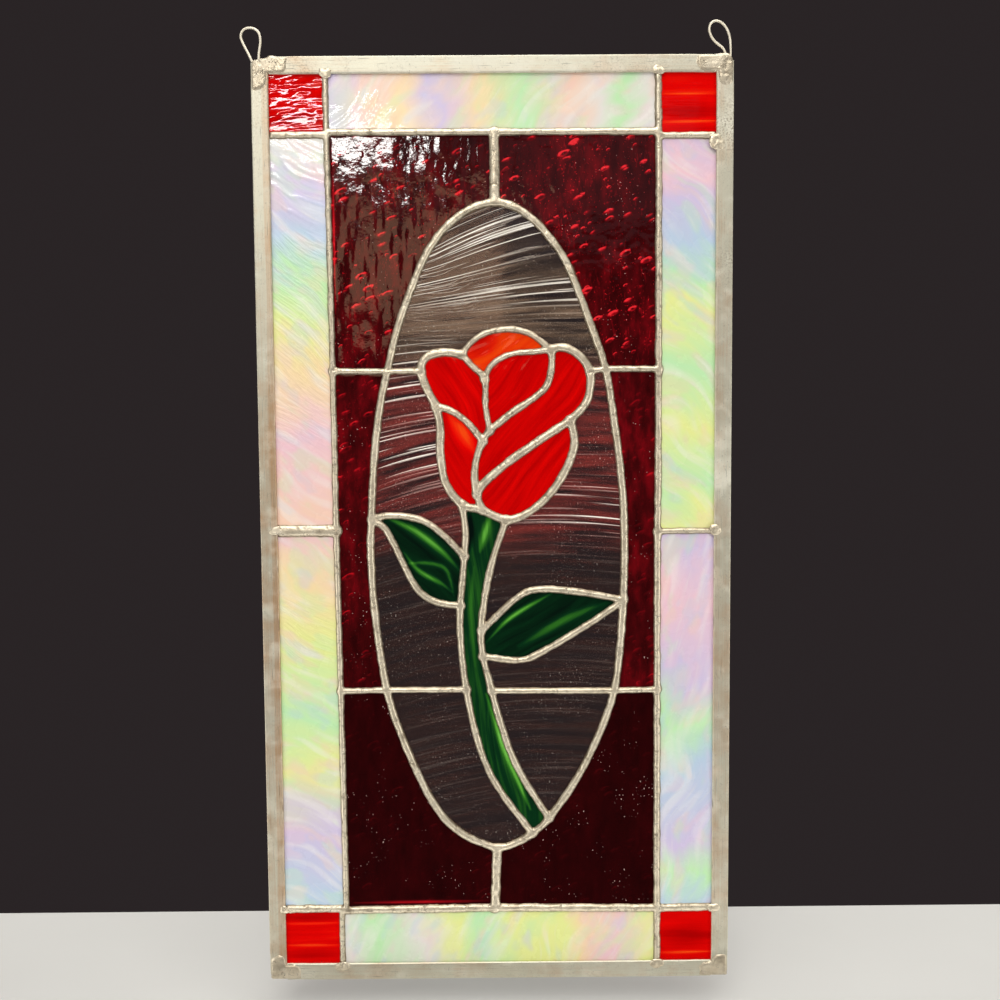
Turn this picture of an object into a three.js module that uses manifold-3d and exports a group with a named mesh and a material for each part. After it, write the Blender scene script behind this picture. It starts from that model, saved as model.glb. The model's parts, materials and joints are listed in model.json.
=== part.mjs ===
// A hanging stained glass panel: a red rose in a clear oval, ruby glass round it and an opal
// border with red corner squares, held by solder lines in a zinc frame with two wire loops.
//
// Millimetres. +X is to the right of someone who faces the panel, +Z is up, and the front faces
// -Y. The origin is the hanging point, midway between the insides of the two wire loops' tops.
//
// The drawing of the panel is written as [x, down] pairs: x from the middle of the panel, and
// down from the top edge of its frame.

import * as THREE from "three";
import { mergeVertices } from "three/addons/utils/BufferGeometryUtils.js";
import Module from "manifold-3d";

const wasm = await Module();
wasm.setup();

// ---------------------------------------------------------------- driving dimensions

const WIDTH = 254;
const HEIGHT = 500;
const HANGING_DROP = 14; // from the hanging point down to the top edge of the frame
const GAP = 0.3; // kept between neighbours that touch on the real panel

const GLASS_THICKNESS = 3;
const GLASS_INSET = 4.2; // from the outer edge of the frame to the edge of the glass

const CAME_FACE = 9; // width of the zinc channel seen from the front
const CAME_DEPTH = 6.2; // its thickness from front to back
const CAME_WALL = 0.8;
const CAME_END_TRIM = 1.1; // the uprights stop short at the bottom, and solder closes them

const WEB = 1; // solder between the edges of two panes
const BEAD_CREST = 3; // height of a solder bead from the middle of the glass
const GROOVE = GLASS_THICKNESS + 2 * GAP; // width of the groove that the glass stands in
const BEAD_SHOULDER = GROOVE / 2; // where the rounded sides of a bead begin
const BEAD_BACK = 2.7; // height of the plainer bead on the back
const BEAD_TOP = 0.8; // width of its nearly flat top
const JOINT_OVERLAP = 0.6; // how far a bead runs on past its last point
const FILLING_EASE = 0.1; // keeps the solder between the panes off the walls of their groove
const FINE = 2.8; // widths of the solder lines
const MIDDLE = 3.3;
const WIDE = 4;
const TOLERANCE = 0.5; // how far a facet may stray from a curved line
const CURVE_SAMPLES = 200;

const PATCH_THICKNESS = 0.9; // solder on the corners of the frame
const PATCH_BEVEL = { depth: 0.35, size: 0.7 };
const PATCH_STEP = 0.2; // the patch stays this far inside the edge of the rail beside its cap
const CAP_THICKNESS = 0.9;
const WIRE_RADIUS = 0.65;
const WIRE_SIDES = 8;
const WIRE_STEPS = 18;
const LEG_END = 3.5; // how far a loop's legs reach into the upright
const LEG_STRAIGHT = 1.2; // how far they stand straight above it

const ZINC = { color: 0xa89f8c, roughness: 0.45, metalness: 0.85 };
const SOLDER = { color: 0xc4bba8, roughness: 0.4, metalness: 0.9 };
const WIRE = { color: 0xd6cfbf, roughness: 0.3, metalness: 0.9 };
const RED = { color: 0xc80a0a, roughness: 0.15, metalness: 0 };
const ORANGE = { color: 0xdc3c08, roughness: 0.15, metalness: 0 };
const RUBY = { color: 0x3a0406, roughness: 0.12, metalness: 0 };
const GREEN = { color: 0x0b3a12, roughness: 0.15, metalness: 0 };
const OPAL = { color: 0xe2dccb, roughness: 0.2, metalness: 0 };
const CLEAR = { color: 0x8c8884, roughness: 0.08, metalness: 0, transparent: true, opacity: 0.4 };

// ---------------------------------------------------------------- the drawing

const BAR_X = WIDTH / 2 - GLASS_INSET;
const BAR_TOP = GLASS_INSET;
const BAR_BOTTOM = HEIGHT - GLASS_INSET;

// Points where three or more lines meet.
const OVAL_TOP = [0.6, 75.2];
const OVAL_BOTTOM = [-0.6, 427];
const OVAL_LEFT_HIGH = [-57.6, 164.5];
const OVAL_LEFT_LOW = [-60.2, 337.6];
const OVAL_RIGHT_HIGH = [59.4, 163.9];
const OVAL_RIGHT_LOW = [64, 338.9];
const LEAF_LEFT_TIP = [-67.2, 244.2];
const LEAF_RIGHT_TIP = [69, 288.8];
const ROSE_LEFT = [-39.6, 164.4];
const ROSE_RIGHT = [51, 165];
const ROSE_TOP = [30.3, 153.6];
const ROSE_NOTCH = [-17.5, 155.8];
const ROSE_LEFT_FOLD = [-32, 183.2];
const ROSE_RIGHT_FOLD = [40.4, 190.9];
const ROSE_BASE_LEFT = [-18.3, 236];
const ROSE_BASE_RIGHT = [5.5, 244.7];
const HEART_TOP = [-5.5, 169];
const HEART = [-3, 196.8];
const ROSE_BASE_INNER = [-7.2, 239.5];
const STEM_END_LEFT = [18.9, 418.4];
const STEM_END_RIGHT = [28, 410];

// Straight lines: the border's, and those across the ruby glass round the oval.
const STRAIGHT_LINES = [
  {
    width: FINE,
    points: [
      [-88.3, BAR_TOP], [-88, 39], [-86.9, 150], [-86.4, 250], [-85.4, 340], [-84.4, 458],
      [-86.8, 463], [-86.8, BAR_BOTTOM],
    ],
  },
  { width: MIDDLE, points: [[87.2, BAR_TOP], [87.8, 60], [87.9, 200], [87.5, 280], [87.8, BAR_BOTTOM]] },
  {
    width: MIDDLE,
    points: [[-BAR_X, 40.2], [-90, 40.2], [-86, 38.9], [86, 39.2], [89, 41.4], [BAR_X, 41.5]],
  },
  {
    width: WIDE,
    points: [[-BAR_X, 460.1], [-88, 460.2], [-84, 461.2], [-2, 460.4], [87.7, 461.4], [BAR_X, 461]],
  },
  { width: 6, points: [[-BAR_X, 250], [-86.4, 250]] },
  { width: FINE, points: [[87.6, 251.4], [BAR_X, 251.4]] },
  { width: 5, points: [[0.5, 39], OVAL_TOP] },
  { width: 4.6, points: [OVAL_BOTTOM, [-2, 461]] },
  { width: FINE, points: [[-86.8, 164.2], OVAL_LEFT_HIGH, ROSE_LEFT] },
  { width: FINE, points: [ROSE_RIGHT, OVAL_RIGHT_HIGH, [87.9, 164.1]] },
  { width: FINE, points: [[-85.4, 338], OVAL_LEFT_LOW, [-16.8, 337.8]] },
  { width: FINE, points: [[-3, 338.5], OVAL_RIGHT_LOW, [87.8, 338.4]] },
];

// Curved lines: the two sides of the oval, the rose, and the stem with its two leaves.
const CURVED_LINES = [
  {
    width: 3.6,
    points: [
      OVAL_TOP, [-11, 78.2], [-21, 84.6], [-31, 94.8], [-39.5, 109.5], [-51.3, 140],
      OVAL_LEFT_HIGH, [-61.5, 182], [-65.4, 212], LEAF_LEFT_TIP, [-67.9, 262], [-66.2, 295],
      OVAL_LEFT_LOW, [-49.9, 370], [-34, 403.5], [-19, 418.8], OVAL_BOTTOM,
    ],
  },
  {
    width: 3.6,
    points: [
      OVAL_TOP, [10.5, 77.8], [20, 84], [30, 94.6], [39.3, 109], [51.6, 140.5],
      OVAL_RIGHT_HIGH, [63.6, 189], [68.3, 225], [69.6, 260], LEAF_RIGHT_TIP, [67.4, 313],
      OVAL_RIGHT_LOW, [55.6, 363.5], [43.4, 388], STEM_END_RIGHT, STEM_END_LEFT, [8.5, 424.4],
      OVAL_BOTTOM,
    ],
  },
  {
    width: WIDE,
    points: [
      ROSE_TOP, [34.6, 152.2], [40.5, 153.5], [46.6, 158], ROSE_RIGHT, [51.2, 173], [48.8, 182],
      ROSE_RIGHT_FOLD, [25, 201.2], [8, 212.8], [-5.2, 223.8], [-10.2, 231],
    ],
  },
  {
    width: WIDE,
    points: [
      ROSE_RIGHT_FOLD, [42.6, 204], [37, 219.5], [27, 233.3], [16, 241.8], ROSE_BASE_RIGHT,
      ROSE_BASE_INNER, ROSE_BASE_LEFT, [-26.9, 224.4], [-29.7, 208], [-29.6, 194],
      ROSE_LEFT_FOLD, [-36.4, 174.2], ROSE_LEFT, [-38, 158.8], [-33.4, 155.5], [-26, 154.4],
      ROSE_NOTCH,
    ],
  },
  { width: FINE, points: [ROSE_NOTCH, [-11.5, 162.4], HEART_TOP, [-5.1, 183], HEART] },
  {
    width: FINE,
    points: [
      ROSE_NOTCH, [-12.5, 149.2], [-4, 144.2], [7, 142.4], [17.5, 144.3], [25.2, 149.2], ROSE_TOP,
    ],
  },
  { width: FINE, points: [HEART_TOP, [-2.5, 162.5], [3, 158], [11, 155.2], [20, 154.6], ROSE_TOP] },
  {
    width: MIDDLE,
    points: [
      ROSE_TOP, [30.6, 161], [28.4, 171.4], [22, 178.4], [10, 186.3],
      HEART, [-8, 204.6], [-11, 216], [-10.8, 228], ROSE_BASE_INNER,
    ],
  },
  { width: MIDDLE, points: [ROSE_LEFT_FOLD, [-24, 185.6], [-15, 192], [-6.6, 202]] },
  {
    width: MIDDLE,
    points: [
      ROSE_BASE_LEFT, [-16.6, 250], [-17.3, 266], [-20, 303], [-15.4, 346], [-4, 385], STEM_END_LEFT,
    ],
  },
  {
    width: MIDDLE,
    points: [ROSE_BASE_RIGHT, [-3.8, 274], [-8.5, 308], [-3.8, 335], [8.4, 376], STEM_END_RIGHT],
  },
  {
    width: MIDDLE,
    points: [
      LEAF_LEFT_TIP, [-60, 242.2], [-50, 242.4], [-39, 245.2], [-29, 252.4], [-17.1, 264.5],
    ],
  },
  {
    width: MIDDLE,
    points: [
      LEAF_LEFT_TIP, [-60.4, 248.6], [-55.5, 257], [-44, 280.5], [-33, 289.2], [-19.3, 291.3],
    ],
  },
  { width: MIDDLE, points: [[-8.4, 305.4], [11, 287.5], [23, 282.7], [45, 284.4], LEAF_RIGHT_TIP] },
  { width: MIDDLE, points: [[-7.6, 319.4], [11, 321.6], [24, 317.5], [54, 299.5], LEAF_RIGHT_TIP] },
];

// Each pane, found by a point inside it.
const PANES = [
  { name: "corner_glass_top_left", finish: RED, inside: [-103, 25] },
  { name: "corner_glass_top_right", finish: RED, inside: [103, 25] },
  { name: "corner_glass_bottom_left", finish: RED, inside: [-103, 476] },
  { name: "corner_glass_bottom_right", finish: RED, inside: [103, 476] },
  { name: "border_glass_top", finish: OPAL, inside: [0, 24] },
  { name: "border_glass_bottom", finish: OPAL, inside: [0, 476] },
  { name: "border_glass_left_upper", finish: OPAL, inside: [-103, 150] },
  { name: "border_glass_left_lower", finish: OPAL, inside: [-103, 350] },
  { name: "border_glass_right_upper", finish: OPAL, inside: [103, 150] },
  { name: "border_glass_right_lower", finish: OPAL, inside: [103, 350] },
  { name: "ruby_glass_top_left", finish: RUBY, inside: [-60, 90] },
  { name: "ruby_glass_top_right", finish: RUBY, inside: [60, 90] },
  { name: "ruby_glass_left", finish: RUBY, inside: [-76, 250] },
  { name: "ruby_glass_right", finish: RUBY, inside: [78, 250] },
  { name: "ruby_glass_bottom_left", finish: RUBY, inside: [-60, 420] },
  { name: "ruby_glass_bottom_right", finish: RUBY, inside: [60, 420] },
  { name: "clear_glass_top", finish: CLEAR, inside: [0, 110] },
  { name: "clear_glass_left_upper", finish: CLEAR, inside: [-45, 215] },
  { name: "clear_glass_right_upper", finish: CLEAR, inside: [45, 255] },
  { name: "clear_glass_left_lower", finish: CLEAR, inside: [-45, 310] },
  { name: "clear_glass_right_lower", finish: CLEAR, inside: [45, 325] },
  { name: "clear_glass_bottom_left", finish: CLEAR, inside: [-25, 380] },
  { name: "clear_glass_bottom_right", finish: CLEAR, inside: [30, 370] },
  { name: "petal_back", finish: ORANGE, inside: [5, 149] },
  { name: "petal_left", finish: RED, inside: [-25, 170] },
  { name: "petal_centre", finish: RED, inside: [12, 168] },
  { name: "petal_right", finish: RED, inside: [38, 172] },
  { name: "petal_lower_left", finish: RED, inside: [-20, 212] },
  { name: "petal_lower_right", finish: RED, inside: [20, 225] },
  { name: "leaf_left", finish: GREEN, inside: [-45, 262] },
  { name: "leaf_right", finish: GREEN, inside: [30, 298] },
  { name: "stem", finish: GREEN, inside: [-12, 300] },
];

// Where a solder line laps over the face of the frame: its middle and its half sizes.
const LAPS = [
  { centre: [-87.8, 8.6], halfWidth: 3, halfHeight: 4.4 },
  { centre: [87.2, 8], halfWidth: 3.6, halfHeight: 4.2 },
  { centre: [-118.2, 250], halfWidth: 4, halfHeight: 3.8 },
  { centre: [118.6, 251.5], halfWidth: 4, halfHeight: 3.2 },
  { centre: [119.2, 44], halfWidth: 3.8, halfHeight: 6 },
  { centre: [-86, 491.4], halfWidth: 3.6, halfHeight: 3.8 },
  { centre: [86.4, 491.2], halfWidth: 4.2, halfHeight: 3 },
];

// The solder on each corner: how far it runs along the rail and along the upright.
const CORNERS = [
  {
    name: "corner_solder_top_left",
    side: -1,
    top: true,
    alongRail: 20,
    alongUpright: 17,
    capWidth: 17,
  },
  {
    name: "corner_solder_top_right",
    side: 1,
    top: true,
    alongRail: 19.5,
    alongUpright: 16,
    capWidth: CAME_FACE,
  },
  {
    name: "corner_solder_bottom_left",
    side: -1,
    top: false,
    alongRail: 17.4,
    alongUpright: 14,
    capWidth: CAME_FACE,
  },
  {
    name: "corner_solder_bottom_right",
    side: 1,
    top: false,
    alongRail: 15.5,
    alongUpright: 13,
    capWidth: CAME_FACE,
  },
];

// The two wire loops, from one leg to the other, as [x, height above the top edge].
const LOOPS = [
  {
    name: "hanging_loop_left",
    legs: [-125.1, -122.6],
    bow: [
      [-127.2, 3.6], [-129.9, 6.2], [-131.6, 8.8], [-132.3, 11], [-131.8, 13.3], [-130.2, 15],
      [-127.8, 15.6], [-125.1, 15.1], [-123.1, 13.5], [-122.2, 11], [-122.1, 8], [-122.4, 4.6],
    ],
  },
  {
    name: "hanging_loop_right",
    legs: [122.3, 125.1],
    bow: [
      [121.3, 4], [119, 6], [116.7, 8.1], [115.2, 10.5], [114.4, 12.9], [114.6, 15.3], [115.8, 17.2],
      [117.8, 17.9], [120.1, 17.3], [122.1, 15.8], [123.8, 13.4], [124.8, 10.8], [125.3, 8.1],
      [125.4, 5],
    ],
  },
];

// ---------------------------------------------------------------- tools

/** The closed mesh of a three.js geometry as a solid that can be joined and cut. */
function solidOf(geometry) {
  const bare = geometry.clone();
  bare.deleteAttribute("normal");
  bare.deleteAttribute("uv");
  const merged = mergeVertices(bare, 1e-4);
  const vertProperties = new Float32Array(merged.attributes.position.array);
  const triVerts = new Uint32Array(merged.index.array);
  return new wasm.Manifold(new wasm.Mesh({ numProp: 3, vertProperties, triVerts }));
}

/** A solid turned back into a three.js geometry. */
function geometryOf(solid) {
  const mesh = solid.getMesh();
  const geometry = new THREE.BufferGeometry();
  geometry.setAttribute("position", new THREE.BufferAttribute(new Float32Array(mesh.vertProperties), 3));
  geometry.setIndex(new THREE.BufferAttribute(new Uint32Array(mesh.triVerts), 1));
  geometry.computeVertexNormals();
  return geometry;
}

/** The union of a list of solids. */
function join(solids) {
  return solids.reduce((whole, solid) => whole.add(solid));
}

/** Height of a place on the panel that lies so far below its top edge. */
function heightOf(down) {
  return -HANGING_DROP - down;
}

/** A box between two [x, down] corners, of the given thickness round the middle plane. */
function slab(left, top, right, bottom, thickness) {
  const box = new THREE.BoxGeometry(right - left, thickness, bottom - top);
  box.translate((left + right) / 2, 0, heightOf((top + bottom) / 2));
  return solidOf(box);
}

/** Extrude a shape that is drawn as seen from the front, centred on the plane y = middle. */
function extrudeAcross(shape, thickness, middle, options) {
  const geometry = new THREE.ExtrudeGeometry(shape, { depth: thickness, bevelEnabled: false, ...options });
  geometry.translate(0, 0, -thickness / 2 - middle);
  geometry.rotateX(Math.PI / 2);
  return geometry;
}

// ---------------------------------------------------------------- solder and glass

/** Drop points from a path while it stays within the tolerance of the straight line between ends. */
function thinned(path, tolerance) {
  const first = path[0];
  const last = path[path.length - 1];
  const along = last.clone().sub(first).normalize();
  const strays = path.map((point) => Math.abs(point.clone().sub(first).cross(along)));
  const farthest = strays.indexOf(Math.max(...strays));
  if (strays[farthest] <= tolerance) {
    return [first, last];
  }
  const before = thinned(path.slice(0, farthest + 1), tolerance);
  const after = thinned(path.slice(farthest), tolerance);
  return [...before.slice(0, -1), ...after];
}

/** The path of a line: its own points, or a smooth curve through them. */
function pathOf(points, smooth) {
  const places = points.map(([x, down]) => new THREE.Vector2(x, heightOf(down)));
  if (!smooth) {
    return places;
  }
  return thinned(new THREE.SplineCurve(places).getSpacedPoints(CURVE_SAMPLES), TOLERANCE);
}

/** The outline of a strip of the given width along a path. */
function stripShape(path, width) {
  const left = [];
  const right = [];
  path.forEach((point, i) => {
    const before = path[Math.max(i - 1, 0)];
    const after = path[Math.min(i + 1, path.length - 1)];
    const along = after.clone().sub(before).normalize();
    const across = new THREE.Vector2(-along.y, along.x).multiplyScalar(width / 2);
    left.push(point.clone().add(across));
    right.push(point.clone().sub(across));
  });
  return new THREE.Shape([...right, ...left.reverse()]);
}

const PATHS = [
  ...STRAIGHT_LINES.map(({ width, points }) => ({ width, path: pathOf(points, false) })),
  ...CURVED_LINES.map(({ width, points }) => ({ width, path: pathOf(points, true) })),
];

/** Plain strips along every line. */
function webs(width, thickness) {
  return join(PATHS.map(({ path }) => solidOf(extrudeAcross(stripShape(path, width), thickness, 0))));
}

/** A path whose ends run on a little, so that lines which meet leave no notch between them. */
function lengthened(path) {
  const runOn = (end, next) => end.clone().add(end.clone().sub(next).setLength(JOINT_OVERLAP));
  const first = runOn(path[0], path[1]);
  const last = runOn(path[path.length - 1], path[path.length - 2]);
  return [first, ...path.slice(1, -1), last];
}

/** The bead along one line: rounded on the front, and square behind until its back is cut flat. */
function bead({ width, path }) {
  const round = (width - BEAD_TOP) / 2;
  const options = {
    bevelEnabled: true,
    bevelThickness: BEAD_CREST - BEAD_SHOULDER,
    bevelSize: round,
    bevelOffset: -round,
    bevelSegments: 1,
  };
  const depth = BEAD_SHOULDER + 2 * BEAD_BACK;
  const middle = BEAD_BACK - BEAD_SHOULDER / 2;
  return solidOf(extrudeAcross(stripShape(lengthened(path), width), depth, middle, options));
}

/** A low lump of solder that runs from a line on to the face of the frame. */
function lap({ centre: [x, down], halfWidth, halfHeight }) {
  const lump = new THREE.SphereGeometry(1, 8, 4);
  lump.scale(halfWidth, CAME_DEPTH / 2 - BEAD_SHOULDER, halfHeight);
  lump.translate(x, -CAME_DEPTH / 2 + GAP, heightOf(down));
  return solidOf(lump);
}

const HALF_OPENING = WIDTH / 2 - CAME_FACE - GAP;
const OPENING_TOP = CAME_FACE + GAP;
const OPENING_BOTTOM = HEIGHT - CAME_FACE - GAP;

/** The whole sheet of glass before it is cut, at a given thickness. */
function sheet(thickness) {
  return slab(-BAR_X, BAR_TOP, BAR_X, BAR_BOTTOM, thickness);
}

/** The sheet cut along every line, as one solid for each pane. */
function cells(cutWidth, thickness) {
  const cut = sheet(thickness).subtract(webs(cutWidth, 2 * thickness)).decompose();
  return PANES.map(({ inside: [x, down] }) => {
    const probe = slab(x - 1, down - 1, x + 1, down + 1, 1);
    return cut.find((solid) => !solid.intersect(probe).isEmpty());
  });
}

/** A block that is taller and wider than the whole panel, of the given thickness. */
function block(thickness) {
  return slab(-WIDTH, -HEIGHT, WIDTH, 2 * HEIGHT, thickness);
}

/** One network of solder: beads on both faces, joined by the webs between the panes. */
function solderLines() {
  const opening = slab(-HALF_OPENING, OPENING_TOP, HALF_OPENING, OPENING_BOTTOM, 4 * BEAD_CREST);
  const frameSpace = block(CAME_DEPTH + 2 * GAP).subtract(opening);
  const behind = block(4 * BEAD_CREST).translate(0, BEAD_BACK + 2 * BEAD_CREST, 0);
  const beads = join(PATHS.map(bead)).intersect(opening).subtract(behind);
  const laps = join(LAPS.map(lap)).subtract(frameSpace);
  const filling = sheet(GROOVE - FILLING_EASE);
  return join([beads, laps, filling]).subtract(join(cells(WEB, GROOVE)));
}

// ---------------------------------------------------------------- frame

/** The section of the zinc channel: u runs inwards from its back, v across the panel. */
function cameSection(place) {
  const half = CAME_DEPTH / 2;
  const inner = half - CAME_WALL;
  const outline = [
    [0, half - 0.5],
    [0.5, half],
    [CAME_FACE - 2, half],
    [CAME_FACE - 0.8, half - 0.2],
    [CAME_FACE, half - 0.6],
    [CAME_FACE - 0.3, half - 0.95],
    [CAME_FACE - 2, inner],
    [CAME_WALL, inner],
  ];
  const mirrored = outline.map(([u, v]) => [u, -v]).reverse();
  return new THREE.Shape([...outline, ...mirrored].map(([u, v]) => new THREE.Vector2(...place(u, v))));
}

/** An upright of the frame, over the full height, with its channel facing the middle. */
function upright(side) {
  const section = cameSection((u, v) => [side * (WIDTH / 2 - u), v]);
  const length = HEIGHT - CAME_END_TRIM;
  const bar = new THREE.ExtrudeGeometry(section, { depth: length, bevelEnabled: false });
  bar.translate(0, 0, heightOf(length));
  return bar;
}

/** A rail of the frame, between the uprights; end is 1 for the top and -1 for the bottom. */
function rail(end) {
  const outerEdge = end > 0 ? heightOf(0) : heightOf(HEIGHT);
  const section = cameSection((u, v) => [v, outerEdge - end * u]);
  const bar = new THREE.ExtrudeGeometry(section, { depth: 2 * HALF_OPENING, bevelEnabled: false });
  bar.translate(0, 0, -HALF_OPENING);
  bar.rotateX(Math.PI / 2);
  bar.rotateZ(Math.PI / 2);
  return bar;
}

/** The L-shaped outline of the solder on a corner, as seen from the front. */
function cornerShape({ side, top, alongRail, alongUpright, capWidth }) {
  const outer = WIDTH / 2;
  const rise = top ? CAP_THICKNESS + GAP : 0;
  const arm = CAME_FACE - 0.4;
  const outline = [
    [outer, -rise],
    [outer - capWidth, -rise],
    [outer - capWidth - 1, PATCH_STEP],
    [outer - alongRail + 1, PATCH_STEP],
    [outer - alongRail, arm * 0.4],
    [outer - alongRail + 3, arm],
    [outer - arm, arm],
    [outer - arm, alongUpright - 3],
    [outer - arm * 0.5, alongUpright],
    [outer, alongUpright - 2],
  ];
  const place = ([x, down]) => new THREE.Vector2(side * x, heightOf(top ? down : HEIGHT - down));
  return new THREE.Shape(outline.map(place));
}

/** Solder over a corner: a patch on the front, one on the back, and the cap that joins them. */
function cornerSolder(corner) {
  const { side, top, capWidth } = corner;
  const bevel = {
    bevelEnabled: true,
    bevelThickness: PATCH_BEVEL.depth,
    bevelSize: PATCH_BEVEL.size,
    bevelOffset: -PATCH_BEVEL.size,
    bevelSegments: 1,
  };
  const plain = PATCH_THICKNESS - 2 * PATCH_BEVEL.depth;
  const middle = CAME_DEPTH / 2 + GAP + PATCH_THICKNESS / 2;
  const patch = (y) => solidOf(extrudeAcross(cornerShape(corner), plain, y, bevel));
  const capTop = top ? -CAP_THICKNESS - GAP : HEIGHT - CAME_END_TRIM + GAP;
  const capBottom = top ? -GAP : HEIGHT;
  const ends = [side * WIDTH / 2, side * (WIDTH / 2 - capWidth)].sort((a, b) => a - b);
  const cap = slab(ends[0], capTop, ends[1], capBottom, 2 * middle);
  return join([patch(-middle), patch(middle), cap]);
}

/** The holes that a loop's legs need. */
function legHoles({ legs }) {
  return join(legs.map((x) => {
    const radius = WIRE_RADIUS + GAP;
    const hole = new THREE.CylinderGeometry(radius, radius, 2 * LEG_END, WIRE_SIDES);
    hole.rotateX(Math.PI / 2);
    hole.translate(x, 0, heightOf(0));
    return solidOf(hole);
  }));
}

/** A bent wire with two straight legs that stand in the end of an upright. */
function wireLoop({ legs: [first, last], bow }) {
  const heights = [-LEG_END, 0, LEG_STRAIGHT];
  const rising = heights.map((up) => [first, up]);
  const falling = heights.toReversed().map((up) => [last, up]);
  const route = [...rising, ...bow, ...falling].map(([x, up]) => new THREE.Vector3(x, 0, heightOf(-up)));
  const section = new THREE.Shape().absarc(0, 0, WIRE_RADIUS, 0, 2 * Math.PI);
  return new THREE.ExtrudeGeometry(section, {
    steps: WIRE_STEPS,
    curveSegments: WIRE_SIDES / 2,
    extrudePath: new THREE.CatmullRomCurve3(route),
  });
}

// ---------------------------------------------------------------- the panel

const panel = new THREE.Group();

/** Add a named piece to the panel. */
function addPiece(name, geometry, finish) {
  const mesh = new THREE.Mesh(geometry, new THREE.MeshStandardMaterial(finish));
  mesh.name = name;
  panel.add(mesh);
}

cells(WEB + 2 * GAP, GLASS_THICKNESS).forEach((pane, i) => {
  addPiece(PANES[i].name, geometryOf(pane), PANES[i].finish);
});
addPiece("solder_lines", geometryOf(solderLines()), SOLDER);
addPiece("frame_left", upright(-1), ZINC);
addPiece("frame_right", upright(1), ZINC);
addPiece("frame_top", rail(1), ZINC);
addPiece("frame_bottom", rail(-1), ZINC);
const holes = join(LOOPS.map(legHoles));
CORNERS.forEach((corner) => {
  addPiece(corner.name, geometryOf(cornerSolder(corner).subtract(holes)), SOLDER);
});
LOOPS.forEach((loop) => addPiece(loop.name, wireLoop(loop), WIRE));

export default panel;
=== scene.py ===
"""Dress the hanging stained glass panel: its glass, solder, zinc frame, corner lumps and wire loops.

The drawing of the panel is written in millimetres as (u, v): u to the right of the panel's middle,
and v down from the top edge of its frame. Depth is y, and the front of the panel faces -Y.
"""

import json
import logging
import math
from dataclasses import dataclass, field
from enum import Enum
from functools import partial
from typing import Callable

import bmesh
import bpy
import numpy as np
from mathutils import Matrix, Vector
from mathutils.geometry import delaunay_2d_cdt

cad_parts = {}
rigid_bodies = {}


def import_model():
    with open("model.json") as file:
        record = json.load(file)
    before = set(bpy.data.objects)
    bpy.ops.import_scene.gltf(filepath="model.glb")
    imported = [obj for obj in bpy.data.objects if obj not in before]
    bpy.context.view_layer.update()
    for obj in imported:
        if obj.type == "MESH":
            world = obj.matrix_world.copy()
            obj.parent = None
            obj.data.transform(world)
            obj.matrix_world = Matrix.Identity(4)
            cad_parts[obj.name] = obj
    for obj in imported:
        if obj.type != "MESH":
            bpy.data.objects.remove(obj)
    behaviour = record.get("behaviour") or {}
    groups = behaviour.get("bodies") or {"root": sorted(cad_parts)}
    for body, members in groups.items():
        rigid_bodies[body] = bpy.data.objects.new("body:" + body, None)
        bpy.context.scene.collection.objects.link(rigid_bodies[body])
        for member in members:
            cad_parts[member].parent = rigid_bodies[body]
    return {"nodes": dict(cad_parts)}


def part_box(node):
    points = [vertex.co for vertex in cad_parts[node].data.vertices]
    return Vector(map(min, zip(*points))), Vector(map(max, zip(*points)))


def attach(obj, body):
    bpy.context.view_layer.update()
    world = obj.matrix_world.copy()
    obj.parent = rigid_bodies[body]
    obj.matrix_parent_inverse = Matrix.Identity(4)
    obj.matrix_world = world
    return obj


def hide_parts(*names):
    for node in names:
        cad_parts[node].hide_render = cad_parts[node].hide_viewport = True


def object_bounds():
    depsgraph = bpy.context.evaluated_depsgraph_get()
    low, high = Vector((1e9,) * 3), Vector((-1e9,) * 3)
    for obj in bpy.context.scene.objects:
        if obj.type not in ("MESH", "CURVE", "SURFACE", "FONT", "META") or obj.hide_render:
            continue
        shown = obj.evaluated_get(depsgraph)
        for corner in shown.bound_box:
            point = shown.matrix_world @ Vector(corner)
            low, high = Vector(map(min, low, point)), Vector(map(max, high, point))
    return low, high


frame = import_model()
CAD_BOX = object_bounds()

LOG = logging.getLogger("stained_glass")

MM = 0.001
PANEL_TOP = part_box("frame_top")[1].z
PANEL_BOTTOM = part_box("frame_bottom")[0].z
HALF_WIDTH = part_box("frame_right")[1].x / MM
HEIGHT = (PANEL_TOP - PANEL_BOTTOM) / MM
HALF_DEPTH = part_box("frame_top")[1].y / MM
GLASS_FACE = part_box("stem")[1].y / MM
CAME_FACE = 9.0
EASE = 0.01  # clearance that keeps two faces from lying in one plane
TINY = 1e-9  # keeps a division or a logarithm from meeting zero

Array = np.ndarray
Point = tuple[float, float]
Colour = tuple[float, float, float]
Vector3 = tuple[float, float, float]
Stops = tuple[tuple[float, Colour], ...]


class Side(Enum):
    """A face of the panel, as the sign of its depth."""

    FRONT = -1
    BACK = 1


class Mark(Enum):
    """What a stretch of metal is marked with, named as the attribute that its finish reads."""

    STAIN = "stain"
    BLOOM = "bloom"
    CRUST = "crust"


# ------------ numbers and noise


def eased(t: Array) -> Array:
    """The cubic 3t^2 - 2t^3."""
    return t * t * (3 - 2 * t)


def smoothstep(low: float | Array, high: float | Array, x: Array) -> Array:
    """Ease from 0 at `low` to 1 at `high` along 3t^2 - 2t^3; `low` may be the greater of the two."""
    return eased(np.clip((x - low) / (high - low), 0.0, 1.0))


def hump(x: Array, middle: float, reach: float) -> Array:
    """A bell that is 1 at `middle` and fades as exp(-((x - middle) / reach)^2)."""
    return np.exp(-(((x - middle) / reach) ** 2))


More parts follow.
